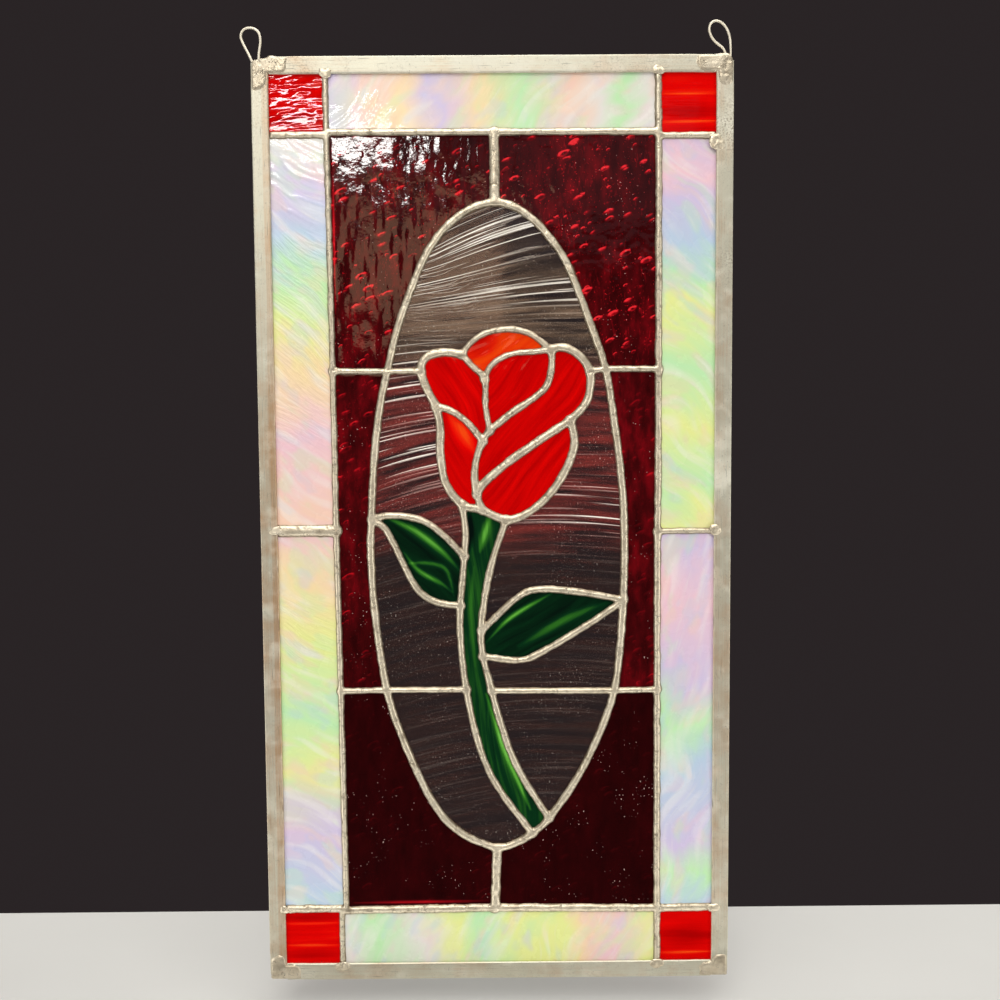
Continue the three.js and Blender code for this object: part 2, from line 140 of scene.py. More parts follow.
def srgb(red: int, green: int, blue: int) -> Colour:
    """A display colour as linear light.

    Args:
        red, green, blue: its channels, each from 0 to 255.

    Returns:
        The same colour, each channel from 0 to 1.
    """

    def linear(value: int) -> float:
        """Undo the display curve of one channel."""
        share = value / 255
        return share / 12.92 if share <= 0.04045 else ((share + 0.055) / 1.055) ** 2.4

    return linear(red), linear(green), linear(blue)


def blended(table: Array, row: Array, column: Array, s: Array, t: Array) -> Array:
    """Values between the entries of a table, which wraps round at its edges.

    The four entries round a place are blended by (1 - s) and s along the row, then by (1 - t) and t.

    Args:
        table: the values.
        row: the row above each place.
        column: the column to its left.
        s: share of the way to the next column.
        t: share of the way to the next row.

    Returns:
        The blended values.
    """
    i0, i1 = column % table.shape[1], (column + 1) % table.shape[1]
    j0, j1 = row % table.shape[0], (row + 1) % table.shape[0]
    top = table[j0, i0] * (1 - s) + table[j0, i1] * s
    bottom = table[j1, i0] * (1 - s) + table[j1, i1] * s
    return top * (1 - t) + bottom * t


class Noise:
    """Smooth random heights on the plane of the panel, the same on every run."""

    SIZE = 256

    def __init__(self, seed: int) -> None:
        """Fill the lattice.

        Args:
            seed: picks one of many lattices.
        """
        self.table = np.random.default_rng(seed).uniform(-1.0, 1.0, (self.SIZE, self.SIZE))

    def plain(self, u: Array, v: Array, across: float, down: float) -> Array:
        """Blend the lattice's heights with a smooth weight between its corners.

        Args:
            u, v: places across and down the panel.
            across: distance between lattice points along u.
            down: distance between lattice points along v.

        Returns:
            Heights between -1 and 1.
        """
        p, q = u / across, v / down
        i, j = np.floor(p).astype(int), np.floor(q).astype(int)
        return blended(self.table, j, i, eased(p - i), eased(q - j))

    def rough(self, u: Array, v: Array, across: float, down: float, layers: int = 3) -> Array:
        """Add layers of plain noise, each half as wide and half as strong as the last.

        Args:
            u, v: places across and down the panel.
            across: distance between the first layer's lattice points along u.
            down: distance between them along v.
            layers: how many layers.

        Returns:
            Heights between -1 and 1.
        """
        total = np.zeros(np.broadcast(u, v).shape)
        for layer in range(layers):
            share = 0.5**layer
            shift_u, shift_v = 31.7 * layer, 17.3 * layer
            total += share * self.plain(u + shift_u, v - shift_v, across * share, down * share)
        return total / (2 - 0.5 ** (layers - 1))


def turned(u: Array, v: Array, degrees: float) -> tuple[Array, Array]:
    """Places along and across a direction, which rises by so many degrees to the right."""
    angle = math.radians(degrees)
    return u * math.cos(angle) - v * math.sin(angle), u * math.sin(angle) + v * math.cos(angle)


def pebbles(u: Array, v: Array, size: float, seed: int) -> Array:
    """Rounded bumps that touch each other, as on hammered glass.

    Each square of a lattice holds one point. The height is the soft minimum of the squared distances
    to the nine nearest ones, turned over, so that it is 1 on a point and falls to creases between.

    Args:
        u, v: places across and down the panel.
        size: distance between lattice points.
        seed: picks one of many layouts.

    Returns:
        Heights from about 0 to 1.
    """
    lattice, margin, sharpness = 128, 0.12, 9.0
    table = np.random.default_rng(seed).uniform(margin, 1.0 - margin, (2, lattice, lattice))
    p, q = u / size, v / size
    i, j = np.floor(p).astype(int), np.floor(q).astype(int)
    total = np.zeros(p.shape)
    for di in (-1, 0, 1):
        for dj in (-1, 0, 1):
            a, b = (i + di) % lattice, (j + dj) % lattice
            squared = (i + di + table[0, b, a] - p) ** 2 + (j + dj + table[1, b, a] - q) ** 2
            total += np.exp(-sharpness * squared)
    return np.clip(1.0 + np.log(total) / sharpness, 0.0, 1.2)


# ------------ lines on the panel


def spaced(knots: Array, step: float) -> Array:
    """Points at equal distances along a chain of straight pieces, both ends included.

    Args:
        knots: the chain's corners.
        step: the distance wanted; the true one is a little more, so that the ends are met.

    Returns:
        The points.
    """
    lengths = np.r_[0.0, np.cumsum(np.hypot(*np.diff(knots, axis=0).T))]
    wanted = np.linspace(0.0, lengths[-1], max(2, int(lengths[-1] / step) + 1))
    return np.column_stack([np.interp(wanted, lengths, knots[:, axis]) for axis in range(knots.shape[1])])


def curve_through(points: Array, samples: int = 24) -> Array:
    """A uniform Catmull-Rom curve through points, with its two end points doubled.

    Between p1 and p2 it is half of 2 p1 + (p2 - p0) t + (2 p0 - 5 p1 + 4 p2 - p3) t^2
    + (3 p1 - p0 - 3 p2 + p3) t^3.

    Args:
        points: what it passes through.
        samples: points of the curve for each stretch between two of them.

    Returns:
        The curve's points.
    """
    padded = np.vstack([points[:1], points, points[-1:]])
    p0, p1, p2, p3 = (padded[i : len(padded) - 3 + i, None] for i in range(4))
    t = np.linspace(0.0, 1.0, samples, endpoint=False)[None, :, None]
    square, cube = 2 * p0 - 5 * p1 + 4 * p2 - p3, 3 * p1 - p0 - 3 * p2 + p3
    curve = 2 * p1 + (p2 - p0) * t + square * t**2 + cube * t**3
    return np.vstack([curve.reshape(-1, points.shape[1]) / 2, points[-1:]])


def to_segment(u: Array, v: Array, a: Array, b: Array) -> tuple[Array, Array]:
    """The nearest point to each place on the straight piece from a to b.

    Args:
        u, v: places across and down the panel.
        a: where the piece starts.
        b: where it ends.

    Returns:
        How far along the piece that point is, from 0 to 1, and the distance to it.
    """
    along = b - a
    du, dv = u - a[0], v - a[1]
    share = np.clip((du * along[0] + dv * along[1]) / (along @ along), 0.0, 1.0)
    return share, np.hypot(du - share * along[0], dv - share * along[1])


def directions(path: Array) -> Array:
    """Unit vectors along a path, at each of its points."""
    along = np.gradient(path, axis=0)
    return along / np.maximum(np.hypot(*along.T), TINY)[:, None]


@dataclass(frozen=True)
class Line:
    """One run of solder, or one streak in the glass."""

    width: float
    points: tuple[Point, ...]
    curved: bool = False

    def path(self, step: float) -> Array:
        """Points along the line, so far apart."""
        knots = np.array(self.points, float)
        return spaced(curve_through(knots) if self.curved else knots, step)


@dataclass
class Grid:
    """A square grid over part of the panel."""

    left: float
    top: float
    right: float
    bottom: float
    step: float
    u: Array = field(init=False)
    v: Array = field(init=False)

    def __post_init__(self) -> None:
        """Work out the places of the grid's corners."""
        columns = np.arange(self.left, self.right + self.step, self.step)
        rows = np.arange(self.top, self.bottom + self.step, self.step)
        self.u, self.v = np.meshgrid(columns, rows)

    def distance(self, path: Array, reach: float) -> Array:
        """Distance from every corner to a path.

        Args:
            path: the path's points.
            reach: the greatest distance of interest.

        Returns:
            The distances, and `reach` wherever it is farther than that.
        """
        nearest = np.full(self.u.shape, reach)
        for a, b in zip(path[:-1], path[1:]):
            low, high = np.minimum(a, b) - reach, np.maximum(a, b) + reach
            window = (
                self._span(low[1] - self.top, high[1] - self.top),
                self._span(low[0] - self.left, high[0] - self.left),
            )
            away = to_segment(self.u[window], self.v[window], a, b)[1]
            np.minimum(nearest[window], away, out=nearest[window])
        return nearest

    def _span(self, low: float, high: float) -> slice:
        """The grid lines of a stretch."""
        return slice(max(int(low / self.step), 0), max(int(high / self.step) + 2, 0))

    def sample(self, values: Array, u: Array, v: Array) -> Array:
        """Values between the grid's corners, blended from the four round each place.

        Args:
            values: a value at every corner of the grid.
            u, v: places across and down the panel.

        Returns:
            The values there.
        """
        p = np.clip((u - self.left) / self.step, 0, self.u.shape[1] - 1.001)
        q = np.clip((v - self.top) / self.step, 0, self.u.shape[0] - 1.001)
        i, j = p.astype(int), q.astype(int)
        return blended(values, j, i, p - i, q - j)


# ------------ sheets and closed shells


def lone_edges(faces: Array, count: int) -> Array:
    """The edges that no other face runs the other way.

    Args:
        faces: corners of the faces, a row each.
        count: how many corners there are in all.

    Returns:
        The start and the end of each.
    """
    starts, ends = faces.ravel(), np.roll(faces, -1, axis=1).ravel()
    lone = ~np.isin(starts * count + ends, ends * count + starts)
    return np.column_stack([starts[lone], ends[lone]])


@dataclass
class Sheet:
    """Square cells inside a region, whose rim is drawn on to the region's edge."""

    LEAST_SLOPE = 0.05
    LONGEST_MOVE = 1.1  # of a cell

    u: Array
    v: Array
    quads: Array
    rim: Array
    rim_edges: Array

    @classmethod
    def cut(cls, grid: Grid, depth: Array) -> "Sheet":
        """Keep the cells whose middle is inside, and move the rim's corners along the slope of `depth`.

        Args:
            grid: the grid to cut.
            depth: distance inside the region at each corner, and negative outside it.

        Returns:
            The sheet.
        """
        keep = (depth[:-1, :-1] + depth[1:, :-1] + depth[:-1, 1:] + depth[1:, 1:]) > 0
        for _ in range(3):
            a, b, c, d = keep[:-1, :-1], keep[:-1, 1:], keep[1:, :-1], keep[1:, 1:]
            pinch = (a & d & ~b & ~c) | (b & c & ~a & ~d)
            for part in (a, b, c, d):
                part |= pinch
        cells_round = np.zeros(depth.shape, int)
        for rows in (slice(None, -1), slice(1, None)):
            for columns in (slice(None, -1), slice(1, None)):
                cells_round[rows, columns] += keep
        rim = (cells_round > 0) & (cells_round < 4)
        slope_v, slope_u = np.gradient(depth, grid.step)
        steep = np.maximum(slope_u**2 + slope_v**2, cls.LEAST_SLOPE)
        move_u, move_v = -depth * slope_u / steep, -depth * slope_v / steep
        length = np.maximum(np.hypot(move_u, move_v), TINY)
        shorten = np.minimum(1.0, cls.LONGEST_MOVE * grid.step / length) * rim
        used = cells_round > 0
        index = np.cumsum(used.ravel()).reshape(used.shape) - 1
        quads = np.stack([index[:-1, :-1], index[1:, :-1], index[1:, 1:], index[:-1, 1:]], -1)[keep]
        u, v = (grid.u + move_u * shorten)[used], (grid.v + move_v * shorten)[used]
        return cls(u, v, quads, rim[used], lone_edges(quads, len(u)))

    def fill(self, inside: Callable[[Array, Array], Array]) -> Array:
        """Triangles of the flat back, with the same rim.

        A triangle with an edge on the rim is inside if it runs along it the other way from the cells.
        Any other one is inside if its middle is. Where corners of the rim lie in a line, a thin triangle
        that meets no other is dropped, and one that is missing is added.

        Args:
            inside: gives the depth of places inside the region.

        Returns:
            Triangles as triples of the sheet's corners.
        """
        corners = np.unique(self.rim_edges)
        small = np.searchsorted(corners, self.rim_edges)
        flat = np.column_stack([self.u[corners], self.v[corners]])
        places, _, found, sources, _, _ = delaunay_2d_cdt(flat.tolist(), small.tolist(), [], 1, TINY)
        nearest = (np.hypot(*(flat - np.array(place)).T).argmin() for place in places)
        origin = np.array([source[0] if source else near for source, near in zip(sources, nearest)])
        triangles = origin[np.array(found)]
        triangles = triangles[(triangles != np.roll(triangles, 1, axis=1)).all(axis=1)]
        count = len(corners)
        codes = triangles * count + np.roll(triangles, -1, axis=1)
        inner = np.isin(codes, small[:, 1] * count + small[:, 0]).any(axis=1)
        outer = np.isin(codes, small[:, 0] * count + small[:, 1]).any(axis=1)
        middle = flat[triangles].mean(axis=1)
        triangles = triangles[inner | (~outer & (inside(middle[:, 0], middle[:, 1]) > 0))]
        starts, ends = triangles, np.roll(triangles, -1, axis=1)
        partners = np.append(ends * count + starts, small[:, 1] * count + small[:, 0])
        met = np.isin(starts * count + ends, partners)
        triangles, starts, ends = triangles[met.any(axis=1)], starts[~met], ends[~met]
        following = np.zeros(count, int)
        following[small[:, 0]] = small[:, 1]
        thin = np.column_stack([ends, starts, following[ends]])[following[following[ends]] == starts]
        return corners[np.vstack([triangles, thin])]


@dataclass
class Shell:
    """Corners and faces of a closed surface, with values at its corners for its material."""

    corners: Array
    faces: list[list[int]]
    values: dict[str, Array] = field(default_factory=dict)

    def joined(self, other: "Shell") -> "Shell":
        """Put this shell and another together; a value that one of them lacks is 0 there.

        Args:
            other: the shell that comes after this one.

        Returns:
            Both as one shell.
        """
        shift = len(self.corners)
        faces = self.faces + [[corner + shift for corner in face] for face in other.faces]
        values = {}
        for title in self.values | other.values:
            both = [part.values.get(title, np.zeros(len(part.corners))) for part in (self, other)]
            values[title] = np.concatenate(both)
        return Shell(np.vstack([self.corners, other.corners]), faces, values)

    def piece(self, name: str, sharp: float = 60.0) -> bpy.types.Object:
        """Make a Blender object from the shell.

        Args:
            name: its name.
            sharp: angle in degrees past which an edge is shown sharp.

        Returns:
            The object, at the origin and in the scene.
        """
        mesh = bpy.data.meshes.new(name)
        mesh.from_pydata(self.corners.tolist(), [], self.faces)
        for title, values in self.values.items():
            kind, member = ("FLOAT_VECTOR", "vector") if values.ndim == 2 else ("FLOAT", "value")
            attribute = mesh.attributes.new(title, kind, "POINT")
            attribute.data.foreach_set(member, values.astype(np.float32).ravel())
        mesh.shade_smooth()
        mesh.set_sharp_from_angle(angle=math.radians(sharp))
        piece = bpy.data.objects.new(name, mesh)
        bpy.context.scene.collection.objects.link(piece)
        return piece


def placed(u: Array, y: Array, v: Array) -> Array:
    """Corners in metres from places on the panel and depths in millimetres."""
    return np.column_stack([u * MM, np.broadcast_to(y, u.shape) * MM, PANEL_TOP - v * MM])


def lens(sheet: Sheet, fill: Array, dome: Array, under: float, side: Side = Side.FRONT) -> Shell:
    """A closed lens: a domed face over a flat one, which share their rim.

    Args:
        sheet: the cells of the domed face.
        fill: the triangles of the flat face.
        dome: height of the domed face over the flat one.
        under: distance of the flat face from the middle of the glass.
        side: the face of the panel that it lies on.

    Returns:
        The shell.
    """
    least = 0.02
    height = np.where(sheet.rim, 0.0, np.maximum(dome, least))
    corners = placed(sheet.u, side.value * (under + height), sheet.v)
    if side is Side.FRONT:
        return Shell(corners, sheet.quads.tolist() + fill.tolist())
    return Shell(corners, sheet.quads[:, ::-1].tolist() + fill[:, ::-1].tolist())


def slab(sheet: Sheet, fill: Array, relief: Array, values: dict[str, Array]) -> Shell:
    """A closed pane: a relief in front, a flat back, and an edge all round.

    Args:
        sheet: the cells of the front.
        fill: the triangles of the back.
        relief: height of the front over the plain face of the glass.
        values: values at the sheet's corners for the material.

    Returns:
        The shell.
    """
    count = len(sheet.u)
    rim = np.flatnonzero(sheet.rim)
    behind = np.zeros(count, int)
    behind[rim] = count + np.arange(len(rim))
    front = placed(sheet.u, -GLASS_FACE - relief, sheet.v)
    back = placed(sheet.u[rim], np.full(len(rim), GLASS_FACE), sheet.v[rim])
    start, end = sheet.rim_edges.T
    edge = np.column_stack([end, start, behind[start], behind[end]])
    faces = sheet.quads.tolist() + edge.tolist() + behind[fill].tolist()
    spread = {title: np.concatenate([value, value[rim]]) for title, value in values.items()}
    return Shell(np.vstack([front, back]), faces, spread)


def swept(path: Array, sides: Array, others: Array, section: Array) -> Shell:
    """Carry a closed section along a path, and close both ends.

    Args:
        path: points of the path, in metres.
        sides: at each point, the direction of the section's first axis.
        others: at each point, the direction of its second axis.
        section: points of the section, in metres.

    Returns:
        The shell.
    """
    rings = path[:, None] + section[None, :, :1] * sides[:, None] + section[None, :, 1:] * others[:, None]
    count, round_ = len(path), len(section)
    first = (np.arange(count - 1)[:, None] * round_ + np.arange(round_)[None]).ravel()
    next_ = (np.arange(count - 1)[:, None] * round_ + np.roll(np.arange(round_), -1)[None]).ravel()
    quads = np.column_stack([first, next_, next_ + round_, first + round_])
    start = list(range(round_))[::-1]
    end = [(count - 1) * round_ + corner for corner in range(round_)]
    return Shell(rings.reshape(-1, 3), quads.tolist() + [start, end])


# ------------ the drawing

FINE, MIDDLE, WIDE = 2.8, 3.3, 4.0
GLASS_INSET = 4.2  # from the outer edge of the frame to the edge of the glass
BAR_X = HALF_WIDTH - GLASS_INSET
BAR_TOP = GLASS_INSET
BAR_BOTTOM = HEIGHT - GLASS_INSET

# Points where three or more lines meet.
OVAL_TOP = (0.6, 75.2)
OVAL_BOTTOM = (-0.6, 427)
OVAL_LEFT_HIGH = (-57.6, 164.5)
OVAL_LEFT_LOW = (-60.2, 337.6)
OVAL_RIGHT_HIGH = (59.4, 163.9)
OVAL_RIGHT_LOW = (64, 338.9)
LEAF_LEFT_TIP = (-67.2, 244.2)
LEAF_RIGHT_TIP = (69, 288.8)
ROSE_LEFT = (-39.6, 164.4)
ROSE_RIGHT = (51, 165)
ROSE_TOP = (30.3, 153.6)
ROSE_NOTCH = (-17.5, 155.8)
ROSE_LEFT_FOLD = (-32, 183.2)
ROSE_RIGHT_FOLD = (40.4, 190.9)
ROSE_BASE_LEFT = (-18.3, 236)
ROSE_BASE_RIGHT = (5.5, 244.7)
HEART_TOP = (-5.5, 169)
HEART = (-3, 196.8)
ROSE_BASE_INNER = (-7.2, 239.5)
STEM_END_LEFT = (18.9, 418.4)
STEM_END_RIGHT = (28, 410)


# The middle of every line of solder, with its width: first the straight runs, then the smooth curves.
STRAIGHT_RUNS = (
    (FINE, (
        (-88.3, BAR_TOP), (-88, 39), (-86.9, 150), (-86.4, 250), (-85.4, 340), (-84.4, 458),
        (-86.8, 463), (-86.8, BAR_BOTTOM),
    )),
    (MIDDLE, ((87.2, BAR_TOP), (87.8, 60), (87.9, 200), (87.5, 280), (87.8, BAR_BOTTOM))),
    (MIDDLE, ((-BAR_X, 40.2), (-90, 40.2), (-86, 38.9), (86, 39.2), (89, 41.4), (BAR_X, 41.5))),
    (WIDE, ((-BAR_X, 460.1), (-88, 460.2), (-84, 461.2), (-2, 460.4), (87.7, 461.4), (BAR_X, 461))),
    (6, ((-BAR_X, 250), (-86.4, 250))),
    (FINE, ((87.6, 251.4), (BAR_X, 251.4))),
    (5, ((0.5, 39), OVAL_TOP)),
    (4.6, (OVAL_BOTTOM, (-2, 461))),
    (FINE, ((-86.8, 164.2), OVAL_LEFT_HIGH, ROSE_LEFT)),
    (FINE, (ROSE_RIGHT, OVAL_RIGHT_HIGH, (87.9, 164.1))),
    (FINE, ((-85.4, 338), OVAL_LEFT_LOW, (-16.8, 337.8))),
    (FINE, ((-3, 338.5), OVAL_RIGHT_LOW, (87.8, 338.4))),
)
CURVED_RUNS = (
    (3.6, (
        OVAL_TOP, (-11, 78.2), (-21, 84.6), (-31, 94.8), (-39.5, 109.5), (-51.3, 140), OVAL_LEFT_HIGH,
        (-61.5, 182), (-65.4, 212), LEAF_LEFT_TIP, (-67.9, 262), (-66.2, 295), OVAL_LEFT_LOW,
        (-49.9, 370), (-34, 403.5), (-19, 418.8), OVAL_BOTTOM,
    )),
    (3.6, (
        OVAL_TOP, (10.5, 77.8), (20, 84), (30, 94.6), (39.3, 109), (51.6, 140.5), OVAL_RIGHT_HIGH,
        (63.6, 189), (68.3, 225), (69.6, 260), LEAF_RIGHT_TIP, (67.4, 313), OVAL_RIGHT_LOW,
        (55.6, 363.5), (43.4, 388), STEM_END_RIGHT, STEM_END_LEFT, (8.5, 424.4), OVAL_BOTTOM,
    )),
    (WIDE, (
        ROSE_TOP, (34.6, 152.2), (40.5, 153.5), (46.6, 158), ROSE_RIGHT, (51.2, 173), (48.8, 182),
        ROSE_RIGHT_FOLD, (25, 201.2), (8, 212.8), (-5.2, 223.8), (-10.2, 231),
    )),
    (WIDE, (
        ROSE_RIGHT_FOLD, (42.6, 204), (37, 219.5), (27, 233.3), (16, 241.8), ROSE_BASE_RIGHT,
        ROSE_BASE_INNER, ROSE_BASE_LEFT, (-26.9, 224.4), (-29.7, 208), (-29.6, 194), ROSE_LEFT_FOLD,
        (-36.4, 174.2), ROSE_LEFT, (-38, 158.8), (-33.4, 155.5), (-26, 154.4), ROSE_NOTCH,
    )),
    (FINE, (ROSE_NOTCH, (-11.5, 162.4), HEART_TOP, (-5.1, 183), HEART)),
    (FINE, (
        ROSE_NOTCH, (-12.5, 149.2), (-4, 144.2), (7, 142.4), (17.5, 144.3), (25.2, 149.2), ROSE_TOP,
    )),
    (FINE, (HEART_TOP, (-2.5, 162.5), (3, 158), (11, 155.2), (20, 154.6), ROSE_TOP)),
    (MIDDLE, (
        ROSE_TOP, (30.6, 161), (28.4, 171.4), (22, 178.4), (10, 186.3), HEART, (-8, 204.6), (-11, 216),
        (-10.8, 228), ROSE_BASE_INNER,
    )),
    (MIDDLE, (ROSE_LEFT_FOLD, (-24, 185.6), (-15, 192), (-6.6, 202))),
    (MIDDLE, (
        ROSE_BASE_LEFT, (-16.6, 250), (-17.3, 266), (-20, 303), (-15.4, 346), (-4, 385), STEM_END_LEFT,
    )),
    (MIDDLE, (ROSE_BASE_RIGHT, (-3.8, 274), (-8.5, 308), (-3.8, 335), (8.4, 376), STEM_END_RIGHT)),
    (MIDDLE, (LEAF_LEFT_TIP, (-60, 242.2), (-50, 242.4), (-39, 245.2), (-29, 252.4), (-17.1, 264.5))),
    (MIDDLE, (LEAF_LEFT_TIP, (-60.4, 248.6), (-55.5, 257), (-44, 280.5), (-33, 289.2), (-19.3, 291.3))),
    (MIDDLE, ((-8.4, 305.4), (11, 287.5), (23, 282.7), (45, 284.4), LEAF_RIGHT_TIP)),
    (MIDDLE, ((-7.6, 319.4), (11, 321.6), (24, 317.5), (54, 299.5), LEAF_RIGHT_TIP)),
)
SOLDER_LINES = tuple(Line(width, points) for width, points in STRAIGHT_RUNS) + tuple(
    Line(width, points, curved=True) for width, points in CURVED_RUNS
)

# Where a solder line laps over the face of the frame: its middle, its half sizes, and how far it leans.
LAPS: tuple[tuple[Point, Point, float], ...] = (
    ((-87.8, 8.6), (3.4, 2.6), 0.0),
    ((87.2, 8.0), (3.4, 2.6), 0.0),
    ((-118.8, 249.8), (3.4, 2.9), -0.6),
    ((118.6, 251.0), (3.2, 3.0), 0.8),
    ((117.8, 45.4), (4.2, 4.2), 1.2),
    ((-87.0, 492.6), (4.0, 2.6), 0.0),
    ((87.7, 492.6), (3.8, 2.6), 0.0),
    ((-118.0, 460.4), (3.6, 2.4), 0.0),
    ((119.2, 461.0), (3.8, 2.2), 0.0),
)


# ------------ shader graphs


class Value:
    """A number at a socket of a shader graph, for sums written as plain Python."""

    def __init__(self, graph: "Graph", socket: bpy.types.NodeSocket) -> None:
        """Wrap a socket.

        Args:
            graph: the graph that the socket is in.
            socket: an output that gives a number.
        """
        self.graph = graph
        self.socket = socket

    def _math(self, operation: str, *terms: "Value | float", clamp: bool = False) -> "Value":
        """Add one Math node.

        Args:
            operation: what it works out.
            terms: what it works on.
            clamp: whether the result is kept between 0 and 1.

        Returns:
            The result.
        """
        settings = {"operation": operation, "use_clamp": clamp}
        node = self.graph.node("ShaderNodeMath", settings, dict(enumerate(terms)))
        return Value(self.graph, node.outputs[0])

    def __add__(self, other: "Value | float") -> "Value":
        """Sum."""
        return self._math("ADD", self, other)

    __radd__ = __add__

    def __sub__(self, other: "Value | float") -> "Value":
        """Difference."""
        return self._math("SUBTRACT", self, other)

    def __rsub__(self, other: float) -> "Value":
        """Difference from a plain number."""
        return self._math("SUBTRACT", other, self)

    def __mul__(self, other: "Value | float") -> "Value":
        """Product."""
        return self._math("MULTIPLY", self, other)

    __rmul__ = __mul__

    def __abs__(self) -> "Value":
        """Size without sign."""
        return self._math("ABSOLUTE", self)

    def clamped(self) -> "Value":
        """Kept between 0 and 1."""
        return self._math("ADD", self, 0.0, clamp=True)

    def between(self, low: float, high: float) -> "Value":
        """Ease from one value to another.

        Args:
            low: where it is 0.
            high: where it is 1.

        Returns:
            The eased value.
        """
        sockets = {"Value": self, "From Min": low, "From Max": high}
        node = self.graph.node("ShaderNodeMapRange", {"interpolation_type": "SMOOTHSTEP"}, sockets)
        return Value(self.graph, node.outputs["Result"])


Input = Value | bpy.types.NodeSocket | float | tuple
Settings = dict[str, object] | None
Sockets = dict[str | int, Input] | None


class Graph:
    """The shader graph of one material."""

    def __init__(self, name: str) -> None:
        """Start an empty material.

        Args:
            name: the material's name.
        """
        self.material = bpy.data.materials.new(name)
        self.material.use_nodes = True
        self.tree = self.material.node_tree
        self.tree.nodes.clear()
        self.places = self.node("ShaderNodeTexCoord").outputs["Object"]

    def node(self, kind: str, settings: Settings = None, sockets: Sockets = None) -> bpy.types.Node:
        """Add a node.

        Args:
            kind: its type.
            settings: its properties, which are set first; "stops" are the stops of a ramp.
            sockets: the values or links of its inputs.

        Returns:
            The node.
        """
        node = self.tree.nodes.new(kind)
        for title, setting in (settings or {}).items():
            if title == "stops":
                self._set_stops(node.color_ramp, setting)
            else:
                setattr(node, title, setting)
        for title, given in (sockets or {}).items():
            self.feed(node.inputs[title], given)
        return node

    def feed(self, socket: bpy.types.NodeSocket, given: Input) -> None:
        """Link a socket or set its value.

        Args:
            socket: an input of a node.
            given: what it takes; a colour needs no alpha.
        """
        if isinstance(given, Value):
            given = given.socket
        if isinstance(given, bpy.types.NodeSocket):
            self.tree.links.new(given, socket)
        elif isinstance(given, tuple) and socket.type == "RGBA":
            socket.default_value = (*given, 1.0)
        else:
            socket.default_value = given

    @staticmethod
    def _set_stops(ramp: bpy.types.ColorRamp, stops: Stops) -> None:
        """Fill a colour ramp.

        Args:
            ramp: the ramp.
            stops: its places and colours, in order.
        """
        while len(ramp.elements) < len(stops):
            ramp.elements.new(1.0)
        for element, (place, colour) in zip(ramp.elements, stops):
            element.position = place
            element.color = (*colour, 1.0)

    def mapped(self, vector: bpy.types.NodeSocket, **changes: Vector3) -> bpy.types.NodeSocket:
        """A vector after a Mapping node; a change is its Scale or Rotation."""
        return self.node("ShaderNodeMapping", {}, {"Vector": vector, **changes}).outputs[0]

    def fractal(self, vector: bpy.types.NodeSocket, detail: float) -> Value:
        """Fractal noise read at a vector, with features about 1 apart."""
        sockets = {"Vector": vector, "Scale": 1.0, "Detail": detail}
        return Value(self, self.node("ShaderNodeTexNoise", {}, sockets).outputs[0])

    def noise(self, size: float, stretch: Vector3 = (1, 1, 1), detail: float = 3.0) -> Value:
        """Fractal noise with features about `size` metres apart, stretched along the axes."""
        scale = tuple(1 / (size * axis) for axis in stretch)
        return self.fractal(self.mapped(self.places, Scale=scale), detail)

    def grain(self, along: float, across: float, detail: float = 3.0) -> Value:
        """Fractal noise on the piece's own flow, with features so long and so wide in millimetres."""
        return self.fractal(self.mapped(self.colours("flow"), Scale=(1 / along, 1 / across, 1.0)), detail)

    def painted_glint_rims(self, along: float, across: float, slant: float, share: float) -> Value:
        """Painted glints: bright rims of slanting ovals, in some cells of a scattered lattice.

        In a cell's own coordinates the rim is a bell round a radius of 0.2 to 0.34 from the cell's
        point, stronger where it looks up as a painted lit side, and it is kept where the cell's own
        random number is above 1 - share.

        Args:
            along: length of a cell in millimetres.
            across: its width.
            slant: degrees by which it rises to the right.
            share: share of the cells that have one.

        Returns:
            How bright the rims are at each place.
        """
        upright = self.mapped(self.places, Rotation=(0.0, math.radians(slant), 0.0))
        place = self.mapped(upright, Scale=(1 / (along * MM), 0.0, 1 / (across * MM)))
        wobble = self.node("ShaderNodeTexNoise", {}, {"Vector": place, "Scale": 1.7, "Detail": 2.0})
        moved = {0: wobble.outputs[1], 1: (0.3, 0.0, 0.3), 2: place}
        place = self.node("ShaderNodeVectorMath", {"operation": "MULTIPLY_ADD"}, moved).outputs[0]
        cells = self.node("ShaderNodeTexVoronoi", {}, {"Vector": place, "Scale": 1.0, "Randomness": 0.85})
        ends = {0: place, 1: cells.outputs["Position"]}
        away = self.node("ShaderNodeVectorMath", {"operation": "SUBTRACT"}, ends)
        axes = self.node("ShaderNodeSeparateXYZ", {}, {0: away.outputs[0]})
        # painted lit side: the upper part of each rim is made brighter
        up = 0.25 + 0.75 * Value(self, axes.outputs[2]).between(-0.15, 0.2)
        lot = self.node("ShaderNodeSeparateColor", {}, {0: cells.outputs["Color"]})
        size = 0.2 + 0.14 * Value(self, lot.outputs[1])
        lip = (1.15 - (abs(Value(self, cells.outputs["Distance"]) - size) * 8.0)).clamped()
        return lip * up * Value(self, lot.outputs[0]).between(1.0 - share, 1.02 - share)

    def wrinkles(self, size: float) -> Value:
        """Fine creases: 1 where a noise passes its middle value, kept in patches."""
        folds = (1.0 - abs(self.noise(size, detail=2.0) - 0.5) * 38.0).clamped()
        return folds * self.noise(size * 1.6, (1.3, 1.0, 0.7), 1.0).between(0.46, 0.58)

    def attribute(self, title: str) -> Value:
        """A number kept at the corners of the piece."""
        node = self.node("ShaderNodeAttribute", {"attribute_name": title})
        return Value(self, node.outputs["Fac"])

    def colours(self, title: str) -> bpy.types.NodeSocket:
        """A colour kept at the corners of the piece."""
        return self.node("ShaderNodeAttribute", {"attribute_name": title}).outputs["Vector"]

